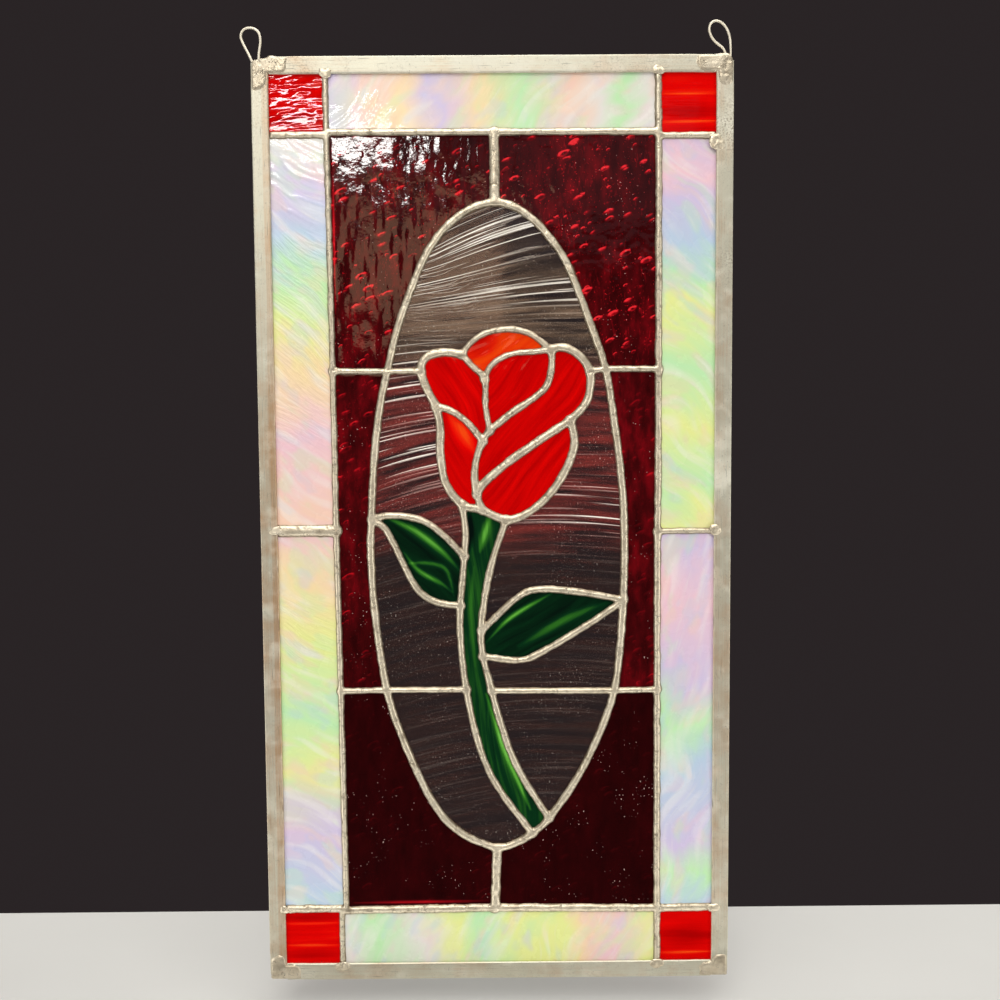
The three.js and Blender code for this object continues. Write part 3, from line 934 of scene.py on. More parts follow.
    def ramp(self, value: Value, stops: Stops) -> bpy.types.NodeSocket:
        """Colour looked up along a row of stops."""
        return self.node("ShaderNodeValToRGB", {"stops": stops}, {"Fac": value}).outputs[0]

    def mix(self, share: Value, first: Input, second: Input) -> bpy.types.NodeSocket:
        """Blend of two colours.

        Args:
            share: share of the second.
            first: the first colour.
            second: the second colour.

        Returns:
            The blend.
        """
        node = self.node("ShaderNodeMix", {"data_type": "RGBA"}, {"Factor": share})
        for title, given in (("A", first), ("B", second)):
            socket = next(s for s in node.inputs if s.name == title and s.type == "RGBA")
            self.feed(socket, given)
        return next(s for s in node.outputs if s.type == "RGBA")

    def bump(self, height: Value, distance: float) -> bpy.types.NodeSocket:
        """A normal tilted by a height, of which 1 stands for `distance` in metres."""
        return self.node("ShaderNodeBump", {}, {"Height": height, "Distance": distance}).outputs[0]

    def principled(self, **sockets: Input) -> bpy.types.NodeSocket:
        """A Principled shader; a socket's name is given with _ for a space."""
        named = {title.replace("_", " "): given for title, given in sockets.items()}
        return self.node("ShaderNodeBsdfPrincipled", {}, named).outputs[0]

    def finish(self, shader: bpy.types.NodeSocket) -> bpy.types.Material:
        """Send a shader to the material's output."""
        self.node("ShaderNodeOutputMaterial", {}, {"Surface": shader})
        return self.material


# ------------ finishes


@dataclass(frozen=True)
class Finish:
    """A material by its name, and the slot of the record that it stands for."""

    name: str
    slot: str

    def material(self) -> bpy.types.Material:
        """The finish's material, made when it is first asked for."""
        return bpy.data.materials.get(self.name) or self.build(Graph(self.name))

    def build(self, graph: Graph) -> bpy.types.Material:
        """Fill the shader graph."""
        raise NotImplementedError

    def dress(self, piece: bpy.types.Object) -> None:
        """Put the finish on a piece.

        Args:
            piece: the piece.
        """
        piece.data.materials.clear()
        piece.data.materials.append(self.material())


class OpalFinish(Finish):
    """Milky glass with pastel clouds under a glossy, faintly pearly skin."""

    def build(self, graph: Graph) -> bpy.types.Material:
        """Take pastel from the piece, and lay milky threads along its flow.

        Args:
            graph: the graph to fill.

        Returns:
            The material.
        """
        threads = graph.grain(26.0, 2.2, 4.0)
        colour = graph.mix(threads.between(0.55, 0.8) * 0.35, graph.colours("pastel"), srgb(246, 244, 238))
        return graph.finish(
            graph.principled(
                Base_Color=colour,
                Roughness=0.2 + 0.14 * graph.noise(0.01),
                Coat_Weight=0.25,
                Coat_Roughness=0.04,
                Normal=graph.bump(graph.grain(9.0, 1.4) * (0.15 + graph.attribute("ripple")), 0.0003),
            )
        )


@dataclass(frozen=True)
class StreakyFinish(Finish):
    """Coloured glass with streaks along the sheet's own grain; `stops` go from dark to bright."""

    stops: Stops

    def build(self, graph: Graph) -> bpy.types.Material:
        """Look the piece's tone up in the row of colours, with fine mottling.

        Args:
            graph: the graph to fill.

        Returns:
            The material.
        """
        fine, broad = graph.grain(34.0, 1.1), graph.grain(40.0, 3.4)
        streaks = graph.attribute("swing") * (0.3 * fine + 0.9 * broad - 0.6)
        tone = graph.attribute("tone") + streaks
        return graph.finish(
            graph.principled(
                Base_Color=graph.ramp(tone.clamped(), self.stops),
                Roughness=0.03 + 0.05 * graph.noise(0.008),
                Specular_IOR_Level=0.4,
                Normal=graph.bump(graph.grain(12.0, 1.4, 2.0), 0.00002),
            )
        )


class RubyFinish(Finish):
    """Deep ruby glass, almost black where no light comes through, with painted bright red glints."""

    STOPS = (
        (0.0, (0.012, 0.0005, 0.0008)), (0.25, (0.055, 0.0015, 0.0025)), (0.5, (0.17, 0.002, 0.005)),
        (0.75, (0.50, 0.006, 0.012)), (1.0, (0.86, 0.025, 0.035)),
    )

    def build(self, graph: Graph) -> bpy.types.Material:
        """Paint bright red glints as oval rims, fine red threads and a few seeds, and a glowing edge; lay
        pale dust over a dark body.

        Args:
            graph: the graph to fill.

        Returns:
            The material.
        """
        seeds = graph.noise(0.0009, detail=1.0).between(0.67, 0.74)
        threads = graph.noise(0.0028, (0.5, 1.0, 2.0), 5.0).between(0.58, 0.72)
        glint = graph.attribute("glint")
        painted_glint_rims = graph.painted_glint_rims(9.5, 4.0, 25.0, 0.38) + 0.7 * graph.painted_glint_rims(4.6, 2.6, 30.0, 0.16)
        patchy = graph.noise(0.013, detail=2.0).between(0.3, 0.5)
        tone = graph.attribute("body") * (2.6 * graph.noise(0.005, (1.0, 1.0, 2.5), 4.0) - 0.35)
        # painted highlights: the glints and the glow along the edge are painted into the colour
        tone = tone + glint * (1.1 * painted_glint_rims * patchy + 0.2 * threads + 0.4 * seeds) + graph.attribute("rim")
        dust = graph.noise(0.0009, detail=0.0).between(0.8, 0.82) * graph.noise(0.02).between(0.52, 0.56)
        relief = 0.5 * graph.noise(0.0018, detail=2.0) + graph.noise(0.005, (1.0, 1.0, 2.0), 1.0)
        return graph.finish(
            graph.principled(
                Base_Color=graph.mix(0.6 * dust, graph.ramp(tone.clamped(), self.STOPS), srgb(222, 196, 190)),
                Roughness=0.04 + 0.05 * graph.noise(0.01),
                IOR=1.52,
                Normal=graph.bump(relief * graph.attribute("hammer"), 0.00008),
            )
        )


class ClearFinish(Finish):
    """Clear glass with drawn ridges, with painted highlights along them and a painted reflection between."""

    def build(self, graph: Graph) -> bpy.types.Material:
        """Paint fine pale threads, as painted highlights, along the flow of see-through glass, over a painted
        reflection.

        Args:
            graph: the graph to fill.

        Returns:
            The material.
        """
        threads = graph.grain(120.0, 1.2, 1.0)
        # painted highlights: pale lines along the ridges
        lines = (threads.between(0.585, 0.612) * 1.8 * graph.attribute("drawn")).clamped()
        # painted reflection: a soft veil of reflected colour
        veil = graph.grain(50.0, 4.0, 4.0).between(0.3, 0.74) * graph.attribute("haze")
        dust = 0.6 * graph.noise(0.0008, detail=0.0).between(0.74, 0.8) * graph.noise(0.03).between(0.2, 0.6)
        glass = graph.principled(
            Base_Color=srgb(236, 226, 224),
            Roughness=0.02 + 0.05 * graph.noise(0.012),
            Transmission_Weight=1.0,
            Specular_IOR_Level=0.35,
            IOR=1.5,
            Normal=graph.bump(threads * graph.attribute("drawn"), 0.00002),
        )
        # painted light: the reflected colour, with the painted highlight lines and the dust pale over it
        pale = graph.mix((lines + dust).clamped(), graph.colours("veil"), srgb(255, 252, 242))
        painted_light_and_dust = graph.principled(Base_Color=pale, Roughness=0.4)
        share = (lines + veil + 0.6 * dust).clamped()
        mixed = graph.node("ShaderNodeMixShader", {}, {0: share, 1: glass, 2: painted_light_and_dust})
        return graph.finish(mixed.outputs[0])


@dataclass(frozen=True)
class MetalFinish(Finish):
    """Zinc, solder or tinned wire, with stains, painted shade and a pale bloom.

    Attributes:
        colours: of stains, of the clean metal and of the bloom.
        rough: least and greatest roughness.
        metal: how metallic it is where it is clean.
        height: of the fine grain, in metres.
        brushed: strength of lines along the piece's flow.
        pitted: darkness of small pits and creases.
        wrinkled: how many fine creases it has.
        cloud: size of its stains, in metres.
    """

    colours: tuple[Colour, Colour, Colour]
    rough: tuple[float, float]
    metal: float
    height: float
    brushed: float = 0.0
    pitted: float = 0.0
    wrinkled: float = 0.0
    cloud: float = 0.014

    def build(self, graph: Graph) -> bpy.types.Material:
        """Lay clouds of stain and bloom over the metal, with the painted shade kept with the stains, and a
        pitted grain.

        Args:
            graph: the graph to fill.

        Returns:
            The material.
        """
        clouds = graph.noise(self.cloud, detail=5.0).between(0.45, 0.7)
        # stains, together with the painted shade that the pieces store with them
        stain = (clouds * 0.35 + graph.attribute("stain")).clamped()
        patches = graph.noise(0.006, detail=6.0).between(0.45, 0.75)
        bloom = (patches * 0.4 + graph.attribute("bloom")).clamped()
        brush = self.brushed * (graph.grain(60.0, 0.4, 2.0) - 0.5)
        pits = graph.noise(0.0011, detail=2.0).between(0.66, 0.72) * (0.3 + 0.7 * bloom)
        scratches = self.brushed * graph.grain(16.0, 0.55, 1.0).between(0.66, 0.74) * (0.3 + stain + bloom)
        marks = (pits + self.wrinkled * graph.wrinkles(0.0035) + scratches).clamped()
        speckle = graph.noise(0.001).between(0.5, 0.6) * graph.attribute("crust")
        dark, clean, pale = self.colours
        colour = graph.mix(bloom * 0.6, graph.mix((stain * 0.8 + brush).clamped(), clean, dark), pale)
        colour = graph.mix(speckle * 0.6, colour, srgb(112, 92, 64))
        colour = graph.mix(marks * self.pitted, colour, srgb(58, 46, 34))
        fine = graph.noise(0.0008)
        low, high = self.rough
        return graph.finish(
            graph.principled(
                Base_Color=colour,
                Metallic=(self.metal - 0.4 * bloom - 0.5 * marks).clamped(),
                Roughness=(low + (high - low) * (0.6 * bloom + 0.4 * fine)).clamped(),
                Normal=graph.bump(fine + 0.6 * bloom - 1.2 * marks - speckle, self.height),
            )
        )


RED = StreakyFinish(
    "RedGlass",
    "red_glass",
    (
        (0.0, srgb(120, 0, 0)), (0.3, srgb(188, 0, 1)), (0.6, srgb(232, 4, 2)), (0.8, srgb(246, 36, 10)),
        (1.0, srgb(253, 86, 20)),
    ),
)
ORANGE = StreakyFinish(
    "OrangeGlass",
    "orange_glass",
    ((0.0, srgb(196, 6, 2)), (0.35, srgb(226, 30, 6)), (0.7, srgb(242, 74, 10)), (1.0, srgb(252, 122, 30))),
)
GREEN = StreakyFinish(
    "GreenGlass",
    "green_glass",
    (
        (0.0, srgb(4, 16, 12)), (0.3, srgb(8, 50, 24)), (0.6, srgb(48, 114, 34)), (0.85, srgb(104, 184, 68)),
        (1.0, srgb(160, 232, 136)),
    ),
)
OPAL = OpalFinish("OpalFinish", "opal_glass")
RUBY = RubyFinish("RubyFinish", "ruby_glass")
CLEAR = ClearFinish("ClearFinish", "clear_glass")
ZINC = MetalFinish(
    "Zinc",
    "zinc",
    colours=(srgb(198, 158, 118), srgb(217, 215, 196), srgb(244, 242, 228)),
    rough=(0.36, 0.6),
    metal=0.6,
    height=0.00002,
    brushed=1.0,
    pitted=0.6,
    wrinkled=0.25,
)
SOLDER = MetalFinish(
    "Solder",
    "solder",
    colours=(srgb(104, 84, 58), srgb(238, 226, 200), srgb(250, 244, 228)),
    rough=(0.28, 0.55),
    metal=0.62,
    height=0.00007,
    pitted=0.8,
    wrinkled=0.8,
    cloud=0.005,
)
WIRE = MetalFinish(
    "TinnedWire",
    "tinned_wire",
    colours=(srgb(220, 208, 180), srgb(248, 240, 220), srgb(250, 246, 236)),
    rough=(0.4, 0.5),
    metal=0.3,
    height=0.000002,
)


# ------------ glass


def outline_of(node: str) -> Array:
    """The outline of a pane's front face.

    Args:
        node: the pane's node.

    Returns:
        Its (u, v) points in order.
    """
    mesh = frame["nodes"][node].data
    corners = np.zeros(len(mesh.vertices) * 3)
    mesh.vertices.foreach_get("co", corners)
    corners = corners.reshape(-1, 3)
    mesh.calc_loop_triangles()
    triangles = np.zeros(len(mesh.loop_triangles) * 3, int)
    mesh.loop_triangles.foreach_get("vertices", triangles)
    triangles = triangles.reshape(-1, 3)
    flat = np.round(np.column_stack([corners[:, 0] / MM, (PANEL_TOP - corners[:, 2]) / MM]), 3)
    front = triangles[(corners[triangles, 1] < -(GLASS_FACE - EASE) * MM).all(axis=1)]
    places, merged = np.unique(flat, axis=0, return_inverse=True)
    follow = dict(lone_edges(merged.reshape(-1)[front], len(places)).tolist())
    order = [next(iter(follow))]
    while follow[order[-1]] != order[0]:
        order.append(follow[order[-1]])
    return places[order]


def depth_inside(outline: Array, u: Array, v: Array) -> Array:
    """Distance inside a closed outline, negative outside, by the even-odd rule on its edges.

    Args:
        outline: its points in order.
        u, v: places across and down the panel.

    Returns:
        The distances.
    """
    nearest = np.full(u.shape, np.inf)
    odd = np.zeros(u.shape, bool)
    for a, b in zip(outline, np.roll(outline, -1, axis=0)):
        np.minimum(nearest, to_segment(u, v, a, b)[1], out=nearest)
        if a[1] != b[1]:
            along = b - a
            odd ^= ((a[1] > v) != (b[1] > v)) & (u - a[0] < along[0] * (v - a[1]) / along[1])
    return np.where(odd, nearest, -nearest)


class Glass:
    """A kind of sheet glass: the relief of its face and the values that its finish reads."""

    finish: Finish
    step = 0.9

    def relief(self, u: Array, v: Array) -> Array:
        """Height of the face in millimetres."""
        raise NotImplementedError

    def values(self, u: Array, v: Array) -> dict[str, Array]:
        """Values at the corners for the finish."""
        raise NotImplementedError


@dataclass
class OpalGlass(Glass):
    """Opal glass with pastel clouds along a strip.

    Attributes:
        stops: its colours along the strip.
        upright: whether the strip runs down the panel.
        seed: picks its noise.
        slant: degrees by which its ripple rises to the right.
        glare: the stretch with bold crests.
        ripple: the stretch with fine ripples.
    """

    stops: Stops
    upright: bool
    seed: int
    slant: float = 40.0
    glare: tuple[float, float] = (0.0, 0.0)
    ripple: tuple[float, float] = (0.0, 0.0)

    finish = OPAL
    step = 0.8

    def flow(self, u: Array, v: Array) -> tuple[Array, Array]:
        """Places along and across the sheet's slanting, wavering ripple, from places (u, v)."""
        along, across = turned(u, v, self.slant)
        return along, across + 6.0 * Noise(self.seed).plain(u, v, 26.0, 26.0)

    def within(self, stretch: tuple[float, float], u: Array, v: Array) -> Array:
        """1 inside a stretch of the strip, fading out at its ends.

        Args:
            stretch: where it starts and ends.
            u, v: places across and down the panel.

        Returns:
            Values from 0 to 1.
        """
        place = v if self.upright else u
        low, high = stretch
        return smoothstep(low - 8, low + 4, place) * (1 - smoothstep(high - 6, high + 8, place))

    def relief(self, u: Array, v: Array) -> Array:
        """Slow swells and slanting crests, stronger over the stretch with glare.

        Args:
            u, v: places across and down the panel.

        Returns:
            Heights in millimetres.
        """
        noise = Noise(self.seed + 3)
        along, across = self.flow(u, v)
        swell = 0.04 * noise.plain(u, v, 11.0, 8.0)
        crest = (1.0 - np.abs(noise.plain(along, across, 17.0, 2.6))) ** 9
        return swell + (0.012 + 0.09 * self.within(self.glare, u, v)) * crest

    def values(self, u: Array, v: Array) -> dict[str, Array]:
        """Pastel clouds: the row of stops drifts along the flow, with patches and pale wisps over it.

        Args:
            u, v: places across and down the panel.

        Returns:
            The pastel, the strength of the ripple, and the flow.
        """
        noise, wisp, side = Noise(self.seed + 1), Noise(self.seed + 2), Noise(self.seed + 4)
        along, across = self.flow(u, v)
        drift = 12.0 * noise.rough(along, across, 34.0, 16.0) + 7.0 * wisp.rough(along, across, 20.0, 6.0)
        place = (v if self.upright else u) + drift
        stops, colours = zip(*self.stops)
        pastel = np.stack([np.interp(place, stops, channel) for channel in zip(*colours)], -1)
        for colour, shift in ((PINK, 0.0), (MINT, 40.0), (BLUE, 80.0), (PEACH, 120.0)):
            patch = smoothstep(0.15, 0.5, side.rough(along + shift, across - shift, 16.0, 8.0))
            pastel = pastel + (np.array(colour) - pastel) * 0.28 * patch[..., None]
        milk = 0.1 + 0.32 * smoothstep(0.0, 0.7, wisp.rough(along, across, 24.0, 4.0))
        pastel = pastel + (np.array(srgb(250, 248, 244)) - pastel) * milk[..., None]
        return {
            "pastel": pastel,
            "ripple": self.within(self.ripple, u, v),
            "flow": flat_vectors(along, across),
        }


def flat_vectors(along: Array, across: Array) -> Array:
    """Two numbers at each place as vectors, for a texture to read."""
    return np.column_stack([along, across, np.zeros(len(along))])


def near(line: Line, u: Array, v: Array) -> Array:
    """A soft stroke: 1 on the line, fading as a bell of its width and thinning to its ends.

    Args:
        line: the line.
        u, v: places across and down the panel.

    Returns:
        Strengths from 0 to 1.
    """
    path = line.path(2.0)
    away = np.full(u.shape, np.inf)
    share_at = np.zeros(u.shape)
    for place, (a, b) in enumerate(zip(path[:-1], path[1:])):
        share, distance = to_segment(u, v, a, b)
        closer = distance < away
        away = np.where(closer, distance, away)
        share_at = np.where(closer, (place + share) / (len(path) - 1), share_at)
    taper = 0.35 + 0.65 * np.sin(math.pi * share_at)
    return np.exp(-((away / (line.width * taper)) ** 2)) * taper


@dataclass
class RubyGlass(Glass):
    """Hammered ruby glass, with painted bright rings, painted glints, where its bumps would gather the light.

    Attributes:
        hammer: depth of its dimples.
        body: how red it is.
        painted_glints: how bright its painted glints are.
        seed: picks its noise.
        melt: how far its dimples have run downwards.
        fade: share of the red that is lost low down.
        rim: a painted glow, a bright line along one edge.
    """

    hammer: float
    body: float
    painted_glints: float
    seed: int
    melt: float = 0.0
    fade: float = 0.0
    rim: Line | None = None

    finish = RUBY
    step = 0.7

    def relief(self, u: Array, v: Array) -> Array:
        """Rounded dimples, longer downwards where the glass has melted, on slow waves.

        Args:
            u, v: places across and down the panel.

        Returns:
            Heights in millimetres.
        """
        noise = Noise(self.seed)
        bend = 1.6 * noise.plain(u, v, 7.0, 7.0)
        tall = 1.0 - 0.5 * self.melt
        bumps = pebbles(u + bend, (v - bend) * tall, 4.6, self.seed)
        runs = noise.rough(u, v, 4.0, 16.0, 2) * (0.3 + 0.7 * smoothstep(58.0, 80.0, v))
        return self.hammer * (0.14 * bumps + 0.12 * noise.plain(u, v, 9.0, 14.0) + 0.16 * self.melt * runs)

    def values(self, u: Array, v: Array) -> dict[str, Array]:
        """How red the body is, in patches, how bright its painted glints are, and how rough its face is.

        Args:
            u, v: places across and down the panel.

        Returns:
            Those, and the strength of the painted glow along the rim.
        """
        noise = Noise(self.seed + 1)
        patches = 1.0 + 0.5 * noise.rough(u, v, 16.0, 22.0, 2)
        clumps = 0.85 + 0.35 * noise.plain(u, v, 22.0, 22.0)
        return {
            "body": self.body * patches * (1.0 - self.fade * smoothstep(240, 330, v)),
            "glint": self.painted_glints * clumps,
            "hammer": np.full(len(u), self.hammer),
            # painted glow: a bright line along one edge of the pane
            "rim": 0.7 * near(self.rim, u, v) if self.rim else np.zeros(len(u)),
        }


@dataclass
class ClearGlass(Glass):
    """Clear glass drawn into long curved ridges, all cut from one sheet."""

    step: float = 0.75

    finish = CLEAR

    @staticmethod
    def flow(u: Array, v: Array) -> tuple[Array, Array]:
        """Places along and across the ridges.

        Across is v less a parabola in u, so that they rise to the right and level out. The parabola
        is scaled down half way down the sheet, and up again below.

        Args:
            u, v: places across and down the panel.

        Returns:
            The places along, and those across.
        """
        rise = 1.0 - 0.7 * smoothstep(105.0, 155.0, v) + 0.45 * smoothstep(170.0, 240.0, v)
        level = 75.0 - 45.0 * smoothstep(95.0, 150.0, v)
        parabola = 0.0024 * rise * (np.minimum(u, 75.0) - level) ** 2
        return u + 0.3 * v, v - parabola + 1.2 * Noise(71).plain(u, v, 40.0, 26.0)

    def relief(self, u: Array, v: Array) -> Array:
        """Long thin ridges, gathered where the sheet is most drawn.

        Args:
            u, v: places across and down the panel.

        Returns:
            Heights in millimetres.
        """
        along, across = self.flow(u, v)
        slow = 0.09 * Noise(73).rough(along, across, 50.0, 6.0, 2)
        threads = Noise(72).rough(along, across, 50.0, 2.2, 2)
        return slow + 0.06 * self.drawn(u, v) * threads

    @staticmethod
    def drawn(u: Array, v: Array) -> Array:
        """How strongly the sheet is drawn: most at the top, and in bands beside the rose.

        Args:
            u, v: places across and down the panel.

        Returns:
            Strengths from 0 to 1.
        """
        across = ClearGlass.flow(u, v)[1]
        left, right = smoothstep(-8.0, -28.0, u), smoothstep(0.0, 40.0, u)
        top = hump(across, 78.0, 13.0) * smoothstep(40.0, 14.0, u)
        middle = 0.45 * hump(v, 120.0, 12.0) + 0.6 * hump(v, 157.0, 7.0) * left
        beside = left * (hump(v, 178.0, 9.0) + 0.8 * hump(v, 210.0, 14.0))
        beside = beside + right * (0.8 * hump(v, 214.0, 3.0) + hump(v, 238.0, 11.0))
        return np.clip(0.05 + top + middle + 0.8 * beside, 0.0, 1.0)

    def values(self, u: Array, v: Array) -> dict[str, Array]:
        """Where pale threads, painted highlights, are drawn, and the strength and colour of the painted
        reflection between them.

        Args:
            u, v: places across and down the panel.

        Returns:
            Those, and the flow.
        """
        along, across = self.flow(u, v)
        patch = smoothstep(-0.5, 0.4, Noise(74).rough(along, across, 34.0, 5.0, 2))
        upper, low = 1.0 - smoothstep(150.0, 175.0, v), smoothstep(245.0, 270.0, v)
        beside = (1.0 - upper) * (1.0 - low)
        # painted reflection: brown high up, dark red beside the rose and dark brown low down
        tints = (srgb(150, 122, 98), srgb(160, 54, 48), srgb(72, 38, 28))
        veil = sum(np.outer(share, tint) for share, tint in zip((upper, beside, low), tints))
        haze = upper * (0.05 + 0.5 * hump(v, 136.0, 24.0)) + 0.5 * beside + 0.3 * low
        return {
            "drawn": self.drawn(u, v) * (0.45 + 0.55 * patch),
            "haze": np.clip(haze, 0.0, 0.85),
            "veil": veil,
            "flow": flat_vectors(along, across),
        }


@dataclass
class StreakyGlass(Glass):
    """Streaky glass with a grain that runs one way, and bolder strokes in it.

    Attributes:
        finish: its colour.
        grain: degrees by which the grain rises to the right.
        seed: picks its noise.
        base: its tone between the streaks, from 0 to 1.
        swing: how far the streaks swing from it.
        bend: how far the grain wavers.
        strokes: bolder streaks, each with its strength.
        waves: height of its waves.
        ridge: width of a wave.
        step: spacing of its mesh.
    """

    finish: Finish
    grain: float
    seed: int
    base: float = 0.4
    swing: float = 0.45
    bend: float = 3.0
    strokes: tuple[tuple[float, Line], ...] = ()
    waves: float = 0.08
    ridge: float = 3.4
    step: float = 0.7

    def flow(self, u: Array, v: Array) -> tuple[Array, Array]:
        """Places along and across the grain, which wavers."""
        along, across = turned(u, v, self.grain)
        return along + 7.0 * self.seed, across + self.bend * Noise(self.seed).plain(u, v, 20.0, 20.0)

    def relief(self, u: Array, v: Array) -> Array:
        """Shallow waves along the grain.

        Args:
            u, v: places across and down the panel.

        Returns:
            Heights in millimetres.
        """
        noise = Noise(self.seed + 1)
        ridges = noise.rough(*self.flow(u, v), 4.0 * self.ridge, self.ridge, 2)
        return self.waves * (ridges + 0.5 * noise.plain(u, v, 5.0, 5.0))

    def values(self, u: Array, v: Array) -> dict[str, Array]:
        """The base tone with each stroke's own strength, and how far the streaks swing from it.

        Args:
            u, v: places across and down the panel.

        Returns:
            Those, and the flow.
        """
        tone = np.full(len(u), self.base)
        for strength, line in self.strokes:
            tone += strength * near(line, u, v)
        return {"tone": tone, "swing": np.full(len(u), self.swing), "flow": flat_vectors(*self.flow(u, v))}


WHITE = srgb(232, 228, 222)
PEACH = srgb(250, 208, 182)
PINK = srgb(244, 198, 212)
LILAC = srgb(208, 194, 232)
BLUE = srgb(182, 208, 234)
MINT = srgb(188, 240, 178)
LEMON = srgb(234, 243, 144)
CREAM = srgb(250, 222, 166)

PANES: dict[str, Glass] = {
    "corner_glass_top_left": StreakyGlass(
        RED, 2.0, 11, 0.5, 0.4, waves=0.13, ridge=2.0, step=0.35,
        strokes=((-0.25, Line(5.0, ((-120, 33), (-88, 33)))),),
    ),
    "corner_glass_top_right": StreakyGlass(
        RED, 0.0, 13, 0.6, 0.4, 0.5, waves=0.02,
        strokes=(
            (0.35, Line(0.7, ((86, 20), (122, 19.6)))), (-0.3, Line(4.5, ((84, 29), (124, 29)))),
            (0.5, Line(0.8, ((86, 34.4), (122, 34)))), (-0.15, Line(2.0, ((84, 38), (124, 38)))),
        ),
    ),
    "corner_glass_bottom_left": StreakyGlass(
        RED, 0.0, 15, 0.55, 0.4, 0.5, waves=0.02,
        strokes=(
            (-0.3, Line(3.0, ((-124, 465), (-84, 465)))), (0.4, Line(0.7, ((-122, 468.6), (-86, 468.4)))),
            (0.4, Line(0.8, ((-122, 481), (-86, 481)))), (-0.2, Line(2.5, ((-124, 486), (-84, 486)))),
        ),
    ),
    "corner_glass_bottom_right": StreakyGlass(
        RED, 0.0, 17, 0.55, 0.4, 0.5, waves=0.02,
        strokes=((-0.3, Line(5.0, ((84, 477), (124, 477)))), (0.5, Line(0.9, ((86, 487), (122, 486.6))))),
    ),
    "border_glass_top": OpalGlass(
        (
            (-85, LILAC), (-66, PEACH), (-50, CREAM), (-36, LILAC), (-10, CREAM), (20, MINT), (42, PEACH),
            (56, WHITE), (70, MINT), (85, WHITE),
        ),
        False, 21, 42.0, glare=(-85, -50),
    ),
    "border_glass_bottom": OpalGlass(
        (
            (-85, WHITE), (-66, MINT), (-46, WHITE), (-26, LEMON), (-8, MINT), (12, LEMON), (34, LEMON),
            (50, CREAM), (64, PINK), (85, LEMON),
        ),
        False, 24, 62.0,
    ),
    "border_glass_left_upper": OpalGlass(
        (
            (42, WHITE), (72, LILAC), (92, BLUE), (112, MINT), (140, LEMON), (165, CREAM), (200, PINK),
            (240, PEACH),
        ),
        True, 27, -36.0, glare=(42, 84), ripple=(96, 200),
    ),
    "border_glass_left_lower": OpalGlass(
        ((252, PINK), (280, CREAM), (310, LEMON), (350, MINT), (380, LEMON), (415, LILAC), (448, BLUE)),
        True, 30, -30.0, ripple=(290, 318),
    ),
    "border_glass_right_upper": OpalGlass(
        (
            (43, LILAC), (62, PINK), (76, LILAC), (98, BLUE), (116, MINT), (134, LEMON), (165, MINT),
            (200, LEMON), (226, MINT), (245, LEMON),
        ),
        True, 33, -40.0,
    ),
    "border_glass_right_lower": OpalGlass(
        (
            (253, LILAC), (290, PINK), (330, LILAC), (356, MINT), (385, BLUE), (420, LILAC), (442, MINT),
            (458, BLUE),
        ),
        True, 36, 75.0,
    ),
    # the rim lines given here are a painted glow along the edge of the pane
    "ruby_glass_top_left": RubyGlass(1.0, 0.24, 1.1, 41, 1.0, rim=Line(0.7, ((-85.0, 56), (-84.8, 134)))),
    "ruby_glass_top_right": RubyGlass(0.8, 0.24, 1.2, 43),
    "ruby_glass_left": RubyGlass(0.5, 0.30, 0.55, 45, fade=0.45),
    "ruby_glass_right": RubyGlass(0.4, 0.28, 0.3, 47),
    "ruby_glass_bottom_left": RubyGlass(0.03, 0.06, 0.12, 49, rim=Line(0.9, ((-80, 457.0), (-6, 456.6)))),
    "ruby_glass_bottom_right": RubyGlass(0.03, 0.06, 0.12, 51),
    "petal_back": StreakyGlass(
        ORANGE, 28.0, 61, 0.55, 0.7, strokes=((-0.5, Line(7.0, ((-14, 158), (-6, 148), (2, 143)))),)
    ),
    "petal_left": StreakyGlass(RED, 118.0, 63, 0.42, 0.8),
    "petal_centre": StreakyGlass(RED, 48.0, 65, 0.4, 0.7),
    "petal_right": StreakyGlass(RED, 50.0, 67, 0.4, 0.75),
    "petal_lower_left": StreakyGlass(
        RED, 118.0, 69, 0.4, 0.5, strokes=((0.55, Line(4.0, ((-26, 186), (-18, 196), (-10, 210)))),)
    ),
    "petal_lower_right": StreakyGlass(RED, 50.0, 71, 0.4, 0.8),
    "leaf_left": StreakyGlass(
        GREEN, -40.0, 73, 0.1, 0.45,
        strokes=(
            (0.7, Line(2.2, ((-60, 243), (-44, 250), (-30, 261), (-20, 272)), curved=True)),
            (0.6, Line(1.6, ((-50, 262), (-42, 272), (-30, 279), (-24, 284)), curved=True)),
            (0.5, Line(1.4, ((-48, 268), (-36, 268), (-27, 272), (-23, 286)), curved=True)),
        ),
    ),
    "leaf_right": StreakyGlass(
        GREEN, 35.0, 75, 0.12, 0.5,
        strokes=(
            (0.7, Line(1.3, ((-6, 312), (8, 298), (30, 285)), curved=True)),
            (0.45, Line(2.4, ((12, 314), (36, 300), (60, 290)), curved=True)),
        ),
    ),
    "stem": StreakyGlass(
        GREEN, -82.0, 77, 0.3, 0.6,
        strokes=(
            (0.5, Line(2.2, ((-3, 242), (-9, 262)))),
            (-0.5, Line(2.4, ((-14, 240), (-15, 262)))),
            (0.22, Line(1.4, ((-12, 270), (-14, 296), (-12, 325)), curved=True)),
            (0.6, Line(1.6, ((-6, 340), (4, 372), (18, 405)), curved=True)),
        ),
    ),
}
FINE_STEP = 0.45  # for the panes whose ridges show most
PANES |= {f"clear_glass_{place}": ClearGlass(FINE_STEP) for place in ("top", "left_upper", "right_upper")}
PLAIN_PANES = ("left_lower", "right_lower", "bottom_left", "bottom_right")
PANES |= {f"clear_glass_{place}": ClearGlass() for place in PLAIN_PANES}


